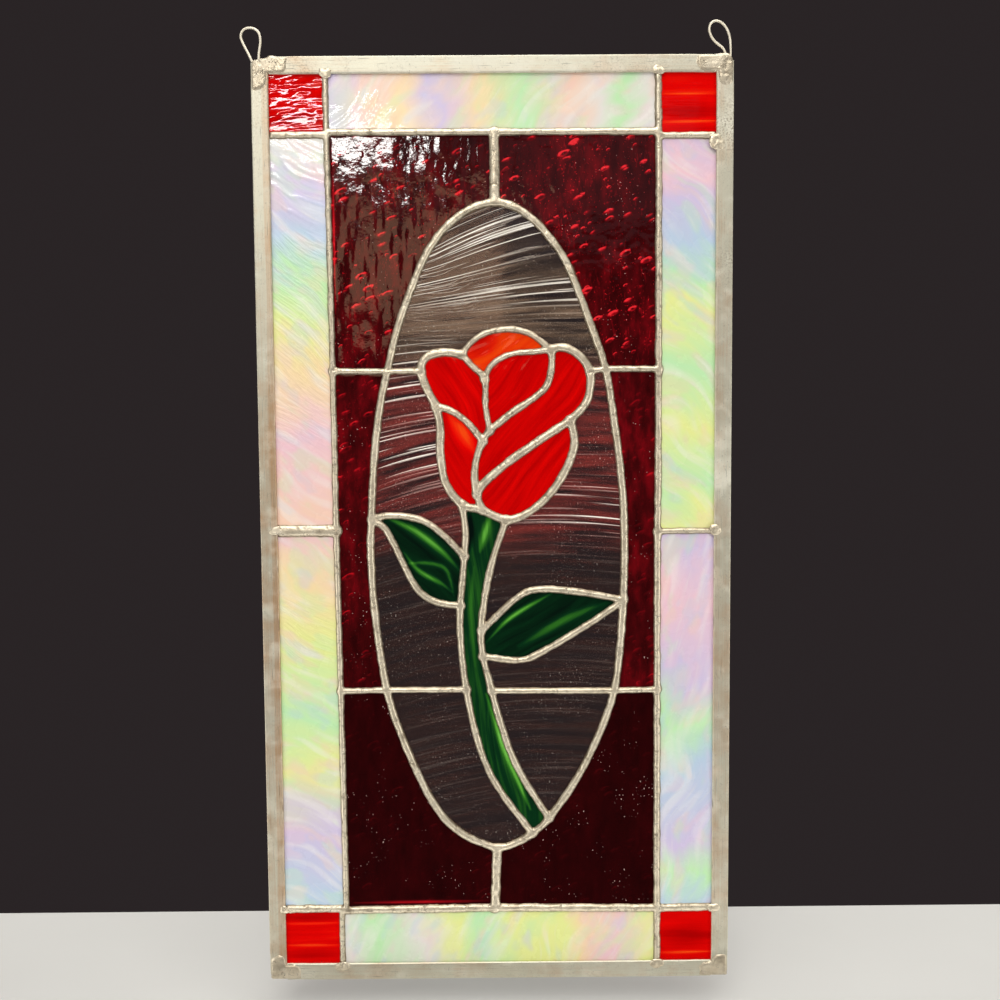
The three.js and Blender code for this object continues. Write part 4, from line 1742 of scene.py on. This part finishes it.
@dataclass
class Glazing:
    """All the panes, each in the outline of its solid; `edge_calm` is the width of their plain edge."""

    edge_calm: float = 1.5

    def pane(self, node: str, glass: Glass) -> None:
        """Make one pane with its relief, and let it stand for its solid.

        Args:
            node: the pane's node.
            glass: what it is cut from.
        """
        outline = outline_of(node)
        margin = 1.5 * glass.step
        grid = Grid(*(outline.min(axis=0) - margin), *(outline.max(axis=0) + margin), glass.step)
        depth = depth_inside(outline, grid.u, grid.v)
        sheet = Sheet.cut(grid, depth)
        fill = sheet.fill(lambda u, v: depth_inside(outline, u, v))
        calm = smoothstep(0.2, self.edge_calm, depth_inside(outline, sheet.u, sheet.v))
        relief = np.where(sheet.rim, 0.0, calm * glass.relief(sheet.u, sheet.v))
        shell = slab(sheet, fill, relief, glass.values(sheet.u, sheet.v))
        add_piece(shell.piece(f"{node}_pane"), glass.finish, node)

    def build(self) -> None:
        """Make every pane."""
        for node, glass in PANES.items():
            self.pane(node, glass)


def add_piece(piece: bpy.types.Object, finish: Finish, node: str) -> None:
    """Dress a piece, hang it on the panel and let it stand for a solid.

    Args:
        piece: the piece.
        finish: its finish.
        node: the solid's node.
    """
    finish.dress(piece)
    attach(piece, "root")
    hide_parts(node)
    LOG.info("%s: %d faces, for %s", piece.name, len(piece.data.polygons), node)


# ------------ solder


@dataclass
class SolderWork:
    """The beads on both faces, the webs between the panes, and the laps on the frame.

    Attributes:
        front_step: spacing of the mesh of the front's beads.
        back_step: and of the back's.
        crest: height of the front's beads over the glass.
        back_crest: and of the back's.
        front_edge: how far the front's beads wander at their edges.
        back_edge: and the back's.
        blend: how softly the beads run into each other.
        joint_radius: radius of the blob where lines meet.
        spread: how much wider than its line a bead is, on each side.
        margin: gap between the beads and the frame.
        web_half: half the thickness of a web.
        lap_height: height of a lap over the frame.
        wander: noise for the slow wander of the beads.
        lumps: noise for their lumps.
    """

    front_step: float = 0.55
    back_step: float = 0.8
    crest: float = 1.42
    back_crest: float = 1.1
    front_edge: float = 0.16
    back_edge: float = 0.1
    blend: float = 0.42
    joint_radius: float = 2.15
    spread: float = 0.18
    margin: float = 0.2
    web_half: float = 0.5
    lap_height: float = 0.7
    wander: Noise = field(default_factory=lambda: Noise(81))
    lumps: Noise = field(default_factory=lambda: Noise(82))

    def depth(self, grid: Grid, paths: list[tuple[float, Array]]) -> tuple[Array, Array]:
        """Depth inside the solder: k log of the sum of exp((half width - distance) / k) over the lines.

        Args:
            grid: where it is worked out.
            paths: each line's half width and path.

        Returns:
            The depth, and the half width of the line that each place belongs to.
        """
        total = np.full(grid.u.shape, TINY)
        widths = np.full(grid.u.shape, TINY)
        beyond = 2.5
        for half, path in paths:
            share = np.exp((half - grid.distance(path, half + beyond)) / self.blend)
            total += share
            widths += share * half
        return self.blend * np.log(total), widths / total

    def joints(self) -> list[tuple[float, Array]]:
        """A round blob of solder wherever lines meet.

        Returns:
            The radius and a very short path for each.
        """
        ends = [line.points[place] for line in SOLDER_LINES for place in (0, -1)]
        corners = [end for end in ends if abs(end[0]) < BAR_X and BAR_TOP < end[1] < BAR_BOTTOM]
        return [(self.joint_radius, np.array([[u, v], [u + 0.1, v]])) for u, v in sorted(set(corners))]

    def beads(self, side: Side, step: float, crest: float, edge: float) -> Shell:
        """The beads on one face.

        Args:
            side: the face.
            step: spacing of the grid.
            crest: height of a bead over the glass.
            edge: how far the beads wander at their edges.

        Returns:
            The shell.
        """
        inset = CAME_FACE + self.margin
        reach_u, low, high = HALF_WIDTH - inset, inset, HEIGHT - inset
        grid = Grid(-reach_u - 2, low - 2, reach_u + 2, high + 2, step)
        paths = [(line.width / 2, line.path(1.5)) for line in SOLDER_LINES]
        depth, half = self.depth(grid, paths + self.joints())
        ragged = self.wander.plain(grid.u, grid.v, 5.0, 5.0)
        ragged = ragged + 0.6 * self.lumps.plain(grid.u, grid.v, 1.9, 1.9)
        depth = depth + self.spread + edge * ragged
        inside = np.minimum(reach_u - np.abs(grid.u), np.minimum(grid.v - low, high - grid.v))
        depth = np.minimum(depth, inside)
        sheet = Sheet.cut(grid, depth)
        u, v = sheet.u, sheet.v
        here = grid.sample(depth, u, v)
        share = np.clip(here / grid.sample(half, u, v), 0.0, 1.0)
        dome = np.sqrt(1.0 - (1.0 - share) ** 2)
        uneven = 1.0 + 0.10 * self.lumps.plain(u, v, 3.0, 3.0) + 0.07 * self.wander.plain(u, v, 7.0, 7.0)
        folds = smoothstep(0.55, 0.85, self.lumps.plain(u + 50, v, 1.8, 1.8))
        height = crest * dome * uneven - 0.24 * folds * dome
        fill = sheet.fill(partial(grid.sample, depth))
        shell = lens(sheet, fill, height, GLASS_FACE + EASE, side)
        # painted shade and some dirt: darker towards the edges of the bead, where it meets the glass, and in
        # its folds
        shell.values["stain"] = 1.0 - smoothstep(0.05, 0.85, here) + 0.5 * folds
        shell.values["crust"] = np.full(len(here), 0.15)
        return shell

    def web(self, line: Line) -> Shell:
        """The thin wall of solder between two panes, along one line.

        Args:
            line: the line.

        Returns:
            The shell.
        """
        same_place = 1e-3
        limit = np.array([HALF_WIDTH - CAME_FACE, HEIGHT - CAME_FACE])
        path = np.clip(line.path(3.0), [-limit[0], CAME_FACE], limit)
        path = path[np.append(True, np.hypot(*np.diff(path, axis=0).T) > same_place)]
        along = directions(path)
        sides = np.column_stack([along[:, 1], np.zeros(len(path)), along[:, 0]])
        depth = GLASS_FACE + 2 * EASE
        section = np.array([(-1, -1), (1, -1), (1, 1), (-1, 1)]) * [self.web_half * MM, depth * MM]
        across = np.tile([0.0, 1.0, 0.0], (len(path), 1))
        return swept(placed(path[:, 0], 0.0, path[:, 1]), sides, across, section)

    def lap(self, middle: Point, halves: Point, droop: float) -> Shell:
        """A low puddle of solder on the lip of the frame.

        The depth inside it is that of an ellipse, ragged by noise, and its lower part leans. It rises as
        the square root of that depth.

        Args:
            middle: its middle.
            halves: half its width and half its height.
            droop: how far its lower end leans to the right.

        Returns:
            The shell.
        """
        step, edge, sunk = 0.3, 0.4, 0.1
        reach = max(halves) + abs(droop) + 1
        grid = Grid(middle[0] - reach, middle[1] - reach, middle[0] + reach, middle[1] + reach, step)
        low = np.maximum(grid.v - middle[1], 0.0) / halves[1]
        radius = np.hypot((grid.u - middle[0] - droop * low) / halves[0], (grid.v - middle[1]) / halves[1])
        depth = (1.0 - radius**2) * min(halves) / 2 + 0.6 * self.lumps.plain(grid.u, grid.v, 2.2, 2.2)
        limit_u, limit_v = HALF_WIDTH - edge, HEIGHT - edge
        inside = np.minimum(limit_u - np.abs(grid.u), np.minimum(grid.v - edge, limit_v - grid.v))
        depth = np.minimum(depth, inside)
        sheet = Sheet.cut(grid, depth)
        fill = sheet.fill(partial(grid.sample, depth))
        here = grid.sample(depth, sheet.u, sheet.v)
        bumps = 0.85 + 0.3 * self.lumps.plain(sheet.u, sheet.v, 1.7, 1.7)
        dome = np.sqrt(np.clip(here / (min(halves) / 2), 0.0, 1.0))
        shell = lens(sheet, fill, sunk + (self.lap_height + sunk) * dome * bumps, HALF_DEPTH - 2 * sunk)
        # painted shade: darker towards the edge of the lap
        shell.values["stain"] = 0.35 * (1.0 - smoothstep(0.0, 0.4, here))
        return shell

    def build(self) -> None:
        """Join the beads, the webs and the laps into the one network."""
        whole = self.beads(Side.FRONT, self.front_step, self.crest, self.front_edge)
        whole = whole.joined(self.beads(Side.BACK, self.back_step, self.back_crest, self.back_edge))
        parts = [self.web(line) for line in SOLDER_LINES] + [self.lap(*lap) for lap in LAPS]
        for part in parts:
            whole = whole.joined(part)
        add_piece(whole.piece("solder_network", 75.0), SOLDER, "solder_lines")


# ------------ frame, corners and loops


@dataclass
class Bar:
    """One bar of the frame.

    Attributes:
        node: its node.
        start: its first outer corner.
        end: its last outer corner.
        inward: the direction from its back to the middle of the panel.
        painted_inner_shade: how strongly the inner half of its face is darkened, as painted shade.
        marks: what each mark is, how far along the panel it is, half its length, and how strong it is.
    """

    node: str
    start: Point
    end: Point
    inward: Point
    painted_inner_shade: float
    marks: tuple[tuple[Mark, float, float, float], ...]


BAR_ENDS = 3.4
RAIL_END = HALF_WIDTH - CAME_FACE - 0.6
BARS = (
    Bar(
        "frame_left", (-HALF_WIDTH, BAR_ENDS), (-HALF_WIDTH, HEIGHT - BAR_ENDS), (1, 0), 0.5,
        (
            (Mark.STAIN, 270.0, 90.0, 0.75), (Mark.STAIN, 420.0, 90.0, 0.35), (Mark.BLOOM, 40.0, 40.0, 0.2),
            (Mark.CRUST, 24.0, 14.0, 0.5),
        ),
    ),
    Bar(
        "frame_right", (HALF_WIDTH, BAR_ENDS), (HALF_WIDTH, HEIGHT - BAR_ENDS), (-1, 0), 0.1,
        (
            (Mark.BLOOM, 216.0, 16.0, 1.0), (Mark.BLOOM, 34.0, 22.0, 0.5), (Mark.STAIN, 330.0, 60.0, 0.6),
            (Mark.STAIN, 150.0, 50.0, 0.2), (Mark.CRUST, 36.0, 16.0, 1.1), (Mark.CRUST, 108.0, 9.0, 0.9),
            (Mark.STAIN, 430.0, 60.0, 0.3),
        ),
    ),
    Bar(
        "frame_top", (-RAIL_END, 0.0), (RAIL_END, 0.0), (0, 1), 0.1,
        (
            (Mark.BLOOM, 10.0, 90.0, 0.8), (Mark.STAIN, 80.0, 26.0, 0.5), (Mark.STAIN, -98.0, 8.0, 0.7),
            (Mark.CRUST, -98.0, 10.0, 0.5), (Mark.CRUST, 82.0, 26.0, 0.4),
        ),
    ),
    Bar(
        "frame_bottom", (-RAIL_END, HEIGHT), (RAIL_END, HEIGHT), (0, -1), 0.0,
        ((Mark.STAIN, -40.0, 60.0, 0.2), (Mark.BLOOM, 60.0, 40.0, 0.3)),
    ),
)


@dataclass
class ZincFrame:
    """The four channels of zinc, with a rolled inner lip and small dents.

    Attributes:
        wall: thickness of the metal.
        corner_radius: radius of the outer edges.
        lip_radius: radius of the rolled lip.
        step: distance between the sections along a bar.
        dent: greatest depth of a dent.
        tuck: how far a bar is drawn in under the solder of its corners.
        under_corner: how far from its ends that solder reaches.
        noise: noise for the dents.
        cloud: noise for the stains and for the edge of the painted shade.
    """

    wall: float = 0.8
    corner_radius: float = 0.45
    lip_radius: float = 0.8
    step: float = 2.0
    dent: float = 0.06
    tuck: float = 0.12
    under_corner: float = 9.0
    noise: Noise = field(default_factory=lambda: Noise(91))
    cloud: Noise = field(default_factory=lambda: Noise(92))

    def section(self) -> Array:
        """The channel's outline: half of it, and the same mirrored.

        Returns:
            Its points, as (inwards from its back, across the panel).
        """
        turn = np.linspace(0.0, math.pi / 2, 5)
        quarter = np.column_stack([1 - np.cos(turn), np.sin(turn)])
        outer = self.corner_radius * quarter + [0, HALF_DEPTH - self.corner_radius]
        face = np.column_stack([np.arange(1.0, 7.7, 0.6), np.full(12, HALF_DEPTH)])
        lip = [CAME_FACE + 0.15, HALF_DEPTH - self.lip_radius] - self.lip_radius * (quarter * [1, -1])[::-1]
        under = np.array(
            [(8.6, -1.05), (7.6, -1.05), (7.0, -self.wall), (3.0, -self.wall), (self.wall, -self.wall)]
        )
        half = np.vstack([outer, face, lip, under + [0, HALF_DEPTH]])
        return np.vstack([half, half[::-1] * [1, -1]])

    def bar(self, bar: Bar) -> None:
        """Carry the section from one end of a bar to the other, with its stains, blooms and painted shade.

        Args:
            bar: the bar.
        """
        path = spaced(np.array([bar.start, bar.end], float), self.step)
        section = self.section()
        wave = self.dent * self.noise.plain(path[:, 0], path[:, 1], 17.0, 17.0)
        from_end = np.minimum(*(np.hypot(*(path - tip).T) for tip in path[[0, -1]]))
        tuck = self.tuck * (1.0 - smoothstep(self.under_corner, self.under_corner + 3.0, from_end))
        path = path + tuck[:, None] * np.array(bar.inward)
        sides = np.tile([bar.inward[0], 0.0, -bar.inward[1]], (len(path), 1))
        across = np.tile([0.0, -1.0, 0.0], (len(path), 1)) * (1.0 + (wave - self.dent)[:, None] / HALF_DEPTH)
        shell = swept(placed(path[:, 0], 0.0, path[:, 1]), sides, across, section * MM)
        depth = np.tile(section[:, 0], len(path))
        u = np.repeat(path[:, 0], len(section)) + depth * bar.inward[0]
        v = np.repeat(path[:, 1], len(section)) + depth * bar.inward[1]
        along = v if bar.inward[0] else u
        ragged = np.clip(0.6 + 0.8 * self.cloud.rough(u, v, 7.0, 7.0), 0.0, 1.2)
        # painted shade: the inner part of the face is darkened from a wavering edge inwards
        edge = 5.4 + 0.5 * self.cloud.plain(u, v, 60.0, 60.0)
        shell.values = {
            "stain": bar.painted_inner_shade * smoothstep(edge, edge + 0.7, depth),
            "bloom": np.zeros(len(u)),
            "crust": np.full(len(u), 0.06),
            "flow": flat_vectors(along, depth + np.tile(section[:, 1], len(path))),
        }
        for mark, place, reach, strength in bar.marks:
            shell.values[mark.value] += strength * ragged * hump(along, place, reach)
        add_piece(outward(shell.piece(f"{bar.node}_bar", 40.0)), ZINC, bar.node)

    def build(self) -> None:
        """Make the two uprights and the two rails between them."""
        for bar in BARS:
            self.bar(bar)


def outward(piece: bpy.types.Object) -> bpy.types.Object:
    """Turn every face of a closed piece to the outside.

    Args:
        piece: the piece.

    Returns:
        The same piece.
    """
    edit = bmesh.new()
    edit.from_mesh(piece.data)
    bmesh.ops.recalc_face_normals(edit, faces=edit.faces)
    edit.to_mesh(piece.data)
    edit.free()
    return piece


@dataclass
class CornerSolder:
    """The lump of solder that holds one corner of the frame, as a pillow round the ends of its bars.

    Attributes:
        node: its node.
        outside: the run of its outline round the outside of the panel.
        puddle: the rest, which is the edge of the puddle on the bars.
        size: width of a lump.
        seed: picks its noise.
        step: spacing of its mesh.
        lumpy: the middle and the radius of the part with lumps.
        crust: how crusted it is.
        round_over: radius of its outer edge.
        film: height of its thinnest part over the bars.
        swell: height of its lumps over that.
    """

    node: str
    outside: tuple[Point, ...]
    puddle: tuple[Point, ...]
    size: float
    seed: int
    step: float = 0.36
    lumpy: tuple[float, float, float] = (0.0, 0.0, 999.0)
    crust: float = 0.2
    round_over: float = 1.3
    film: float = 0.3
    swell: float = 0.4

    def build(self) -> None:
        """Cut the outline from a grid, raise its two faces, and close them with a wall.

        Half the thickness grows from the outside as a quarter circle up to the face of the bars. The
        solder on them grows from the puddle's edge as an eased step, times its lumps.
        """
        outline = np.array(self.outside + self.puddle, float)
        low, high = outline.min(axis=0) - 1.0, outline.max(axis=0) + 1.0
        grid = Grid(low[0], low[1], high[0], high[1], self.step)
        noise = Noise(self.seed)
        from_outside = grid.distance(spaced(np.array(self.outside, float), 1.0), CAME_FACE)
        ragged = 0.8 * noise.plain(grid.u, grid.v, 3.6, 3.6) * smoothstep(0.3, 2.0, from_outside)
        depth = depth_inside(outline, grid.u, grid.v) + ragged
        sheet = Sheet.cut(grid, depth)
        u, v, count = sheet.u, sheet.v, len(sheet.u)
        edge = np.clip(grid.sample(from_outside, u, v) / self.round_over, 0.0, 1.0)
        lumps = pebbles(u, v, self.size, self.seed) + 0.2 * noise.plain(u, v, 1.3, 1.3)
        middle_u, middle_v, reach = self.lumpy
        away = np.hypot(u - middle_u, v - middle_v)
        mean, calm = 0.55, 0.15
        height = calm + (1 - calm) * (1.0 - smoothstep(0.6 * reach, 1.3 * reach, away))
        lumps = mean + (lumps - mean) * height
        rise = smoothstep(-0.1, 1.5, depth_inside(outline, u, v))
        rounded = 0.25 + (HALF_DEPTH - 0.35) * np.sqrt(1.0 - (1.0 - edge) ** 2)
        front = rounded + rise * (self.film + self.swell * np.clip(lumps, 0.0, 1.1))
        back = rounded + rise * (self.film + 0.3)
        corners = np.vstack([placed(u, -front, v), placed(u, back, v)])
        start, end = sheet.rim_edges.T
        wall = np.column_stack([end, start, start + count, end + count])
        faces = sheet.quads.tolist() + (sheet.quads[:, ::-1] + count).tolist() + wall.tolist()
        crust = 0.4 + 0.6 * smoothstep(-0.4, 0.5, noise.plain(u, v, 4.0, 4.0))
        values = {
            # darker between the lumps, and a little darker all over
            "stain": np.tile(0.3 * (1.0 - smoothstep(0.1, 0.45, lumps)) * rise + 0.22, 2),
            "crust": np.tile(self.crust * crust, 2),
        }
        shell = Shell(np.clip(corners, *CAD_BOX), faces, values)
        add_piece(outward(shell.piece(f"{self.node}_lump", 75.0)), SOLDER, self.node)


CORNERS = (
    CornerSolder(
        "corner_solder_top_left",
        (
            (-108.0, -0.1), (-112.5, -0.15), (-114.2, -0.5), (-116.3, -1.0), (-117.6, -0.7), (-118.6, 0.1),
            (-119.8, 0.5), (-122.4, 0.8), (-125.2, 1.4), (-126.7, 2.4), (-127.1, 4.2), (-127.1, 17.0),
        ),
        (
            (-126.9, 17.4), (-124.5, 17.4), (-121.8, 16.8), (-119.6, 15.4), (-118.5, 12.5), (-118.3, 8.9),
            (-112.0, 8.8), (-109.4, 8.3), (-108.0, 5.8), (-107.5, 3.0),
        ),
        5.5,
        101,
        lumpy=(-118.0, 6.0, 9.0),
        crust=0.6,
        swell=0.25,
    ),
    CornerSolder(
        "corner_solder_top_right",
        (
            (107.6, -0.1), (116.5, -0.1), (118.9, -0.6), (121.6, -1.0), (124.3, -0.7), (126.2, 1.2),
            (127.0, 4.0), (127.0, 14.0),
        ),
        (
            (126.6, 14.8), (125.0, 16.0), (122.4, 16.4), (119.6, 15.2), (118.4, 12.0), (118.3, 8.9),
            (112.0, 8.8), (108.6, 8.0), (107.0, 4.5),
        ),
        3.6,
        103,
        lumpy=(121.5, 8.0, 7.0),
    ),
    CornerSolder(
        "corner_solder_bottom_left",
        ((-110.6, 500.0), (-125.8, 500.0), (-127.0, 499.2), (-127.1, 489.5)),
        (
            (-126.6, 488.6), (-125.2, 486.9), (-122.4, 485.6), (-119.6, 486.3), (-118.4, 488.5),
            (-118.2, 491.2), (-113.0, 491.3), (-110.2, 493.0), (-109.6, 496.0), (-110.0, 498.8),
        ),
        3.2,
        105,
        lumpy=(-124.0, 497.0, 5.0),
    ),
    CornerSolder(
        "corner_solder_bottom_right",
        ((112.0, 500.0), (126.4, 500.0), (127.0, 499.4), (127.0, 488.6)),
        (
            (126.6, 487.9), (123.8, 487.4), (120.2, 487.9), (118.3, 489.5), (118.2, 491.3), (113.6, 491.5),
            (111.2, 494.0), (110.8, 497.0), (111.2, 499.2),
        ),
        5.0,
        107,
        lumpy=(118.0, 492.0, 4.0),
    ),
)


@dataclass
class WireLoop:
    """A bent loop of tinned wire, whose two ends are buried in the solder of a corner.

    Attributes:
        node: its node.
        bow: points of its middle line, as (u, height above the top edge).
        radius: radius of the wire.
        sides: how many sides its section has.
    """

    node: str
    bow: tuple[Point, ...]
    radius: float = 0.62
    sides: int = 14

    def build(self) -> None:
        """Carry a round section along the smooth curve through the bow."""
        path = spaced(curve_through(np.array(self.bow)), 0.4)
        along = directions(path)
        sides = np.column_stack([along[:, 1], np.zeros(len(path)), -along[:, 0]])
        across = np.tile([0.0, 1.0, 0.0], (len(path), 1))
        turn = np.linspace(0, 2 * math.pi, self.sides, endpoint=False)
        section = self.radius * MM * np.column_stack([np.cos(turn), np.sin(turn)])
        shell = swept(placed(path[:, 0], 0.0, -path[:, 1]), sides, across, section)
        low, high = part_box(self.node)
        shell.corners = np.clip(shell.corners, [low.x, -math.inf, -math.inf], [high.x, math.inf, high.z])
        add_piece(outward(shell.piece(f"{self.node}_wire")), WIRE, self.node)


LOOPS = (
    WireLoop(
        "hanging_loop_left",
        (
            (-125.6, -4.0), (-126.4, -2.2), (-127.4, 0.0), (-128.6, 2.6), (-130.2, 5.6), (-131.6, 8.6),
            (-132.3, 11.0), (-131.8, 13.3), (-130.2, 15.0), (-127.8, 15.6), (-125.1, 15.1), (-123.1, 13.5),
            (-122.2, 11.0), (-122.1, 8.0), (-122.6, 4.8), (-123.0, 2.0), (-123.1, 0.0), (-123.1, -3.0),
        ),
    ),
    WireLoop(
        "hanging_loop_right",
        (
            (123.2, -3.0), (123.0, 0.0), (122.5, 2.4), (121.4, 4.1), (119.0, 6.0), (116.7, 8.1),
            (115.2, 10.5), (114.4, 12.9), (114.6, 15.3), (115.8, 17.2), (117.8, 17.9), (120.1, 17.3),
            (122.1, 15.8), (123.8, 13.4), (124.8, 10.8), (125.4, 8.1), (125.7, 5.0), (125.9, 1.4),
            (125.6, -3.0),
        ),
    ),
)


# ------------ stage


WHITE_LIGHT = (1.0, 0.98, 0.94)
BROWN_LIGHT = (1.0, 0.6, 0.38)
CREAM_LIGHT = (1.0, 0.97, 0.9)
ROSE_LIGHT = (1.0, 0.82, 0.9)


@dataclass
class Card:
    """A soft card of light that faces the middle of the panel.

    Attributes:
        name: its name.
        turn: degrees to the right of straight in front.
        rise: degrees above the level of the panel's middle.
        away: distance from it, in metres.
        size: width and height, in metres.
        glow: radiance; the power is pi times the area times this.
        colour: its colour.
    """

    name: str
    turn: float
    rise: float
    away: float
    size: Point
    glow: float
    colour: Colour

    def build(self) -> None:
        """Make the light and turn it to the panel."""
        data = bpy.data.lights.new(self.name, "AREA")
        data.shape = "RECTANGLE"
        data.size, data.size_y = self.size
        data.energy = math.pi * self.size[0] * self.size[1] * self.glow
        data.color = self.colour
        light = bpy.data.objects.new(self.name, data)
        side, up = math.radians(self.turn), math.radians(self.rise)
        way = Vector((math.sin(side) * math.cos(up), -math.cos(side) * math.cos(up), math.sin(up)))
        light.location = Vector((0.0, 0.0, (PANEL_TOP + PANEL_BOTTOM) / 2)) + way * self.away
        light.rotation_euler = (-way).to_track_quat("-Z", "Y").to_euler()
        light.visible_camera = False
        bpy.context.scene.collection.objects.link(light)


CARDS = (
    Card("patch", -5.0, 12.6, 2.4, (0.46, 0.34), 1.7, BROWN_LIGHT),
    Card("strip", -11.6, 21.3, 2.4, (0.42, 0.10), 34.0, WHITE_LIGHT),
    Card("wall", 6.0, 18.6, 2.4, (0.62, 0.36), 0.16, ROSE_LIGHT),
    Card("lamp", -6.0, 42.0, 4.0, (2.4, 1.3), 5.1, WHITE_LIGHT),
    Card("overhead", 10.0, 68.0, 4.0, (4.8, 3.0), 2.6, CREAM_LIGHT),
    Card("low", 8.0, -48.0, 2.6, (2.6, 1.0), 2.1, WHITE_LIGHT),
    Card("left", -52.0, -14.0, 2.4, (1.2, 1.8), 2.5, WHITE_LIGHT),
    Card("right", 52.0, -8.0, 2.4, (1.2, 1.8), 2.5, WHITE_LIGHT),
    Card("behind", 160.0, 64.0, 1.7, (1.6, 1.0), 3.6, WHITE_LIGHT),
)


@dataclass
class Studio:
    """The floor, the surround, the lights and the camera.

    Attributes:
        floor_below: distance of the floor under the panel, in metres.
        camera_at: where the camera is.
        look_down: degrees by which it looks down.
        look_right: degrees by which it looks to the right.
        roll: degrees by which it is tilted.
        focal_length: of its lens, in millimetres.
        surround: colour of the world.
    """

    floor_below: float = 0.02
    camera_at: Vector3 = (0.0001, -0.5409, -0.2139)
    look_down: float = 3.61
    look_right: float = 0.237
    roll: float = -0.41
    focal_length: float = 36.0
    surround: Colour = (0.023, 0.018, 0.019)

    def floor(self) -> None:
        """A pale board a little below the panel."""
        half_x, front, back = 0.9, -0.05, 0.12
        z = PANEL_BOTTOM - self.floor_below
        corners = np.array([(-half_x, front, z), (half_x, front, z), (half_x, back, z), (-half_x, back, z)])
        board = Shell(corners, [[0, 1, 2, 3]]).piece("floor")
        graph = Graph("FloorPaper")
        shade = graph.ramp(graph.noise(0.25), ((0.3, (0.60, 0.60, 0.59)), (0.7, (0.66, 0.66, 0.65))))
        board.data.materials.append(graph.finish(graph.principled(Base_Color=shade, Roughness=0.8)))

    def camera(self) -> None:
        """A camera in front of the panel, looking slightly down."""
        data = bpy.data.cameras.new("camera")
        data.sensor_width = 36.0
        data.lens = self.focal_length
        data.clip_start, data.clip_end = 0.01, 20.0
        camera = bpy.data.objects.new("camera", data)
        camera.location = self.camera_at
        down, right, roll = (math.radians(turn) for turn in (self.look_down, self.look_right, self.roll))
        turns = ((-right, "Z"), (math.pi / 2 - down, "X"), (roll, "Z"))
        first, second, third = (Matrix.Rotation(angle, 4, axis) for angle, axis in turns)
        camera.rotation_euler = (first @ second @ third).to_euler()
        bpy.context.scene.collection.objects.link(camera)
        bpy.context.scene.camera = camera

    def world(self) -> None:
        """A plain dark surround."""
        world = bpy.data.worlds.new("surround")
        bpy.context.scene.world = world
        world.use_nodes = True
        background = next(node for node in world.node_tree.nodes if node.type == "BACKGROUND")
        background.inputs["Color"].default_value = (*self.surround, 1.0)

    def build(self) -> None:
        """Set everything up."""
        bpy.context.scene.view_settings.view_transform = "Standard"
        self.floor()
        self.camera()
        self.world()
        for card in CARDS:
            card.build()


def clear_scene() -> None:
    """Remove the lights and camera of a new file."""
    for thing in list(bpy.data.objects):
        if thing.type in {"LIGHT", "CAMERA"} or thing.name == "Cube":
            bpy.data.objects.remove(thing)


def main() -> None:
    """Build the panel from its glass outwards, then the stage."""
    logging.basicConfig(level=logging.INFO, format="%(name)s %(message)s")
    clear_scene()
    Glazing().build()
    SolderWork().build()
    ZincFrame().build()
    for lump in CORNERS:
        lump.build()
    for loop in LOOPS:
        loop.build()
    Studio().build()


if __name__ == "__main__":
    main()
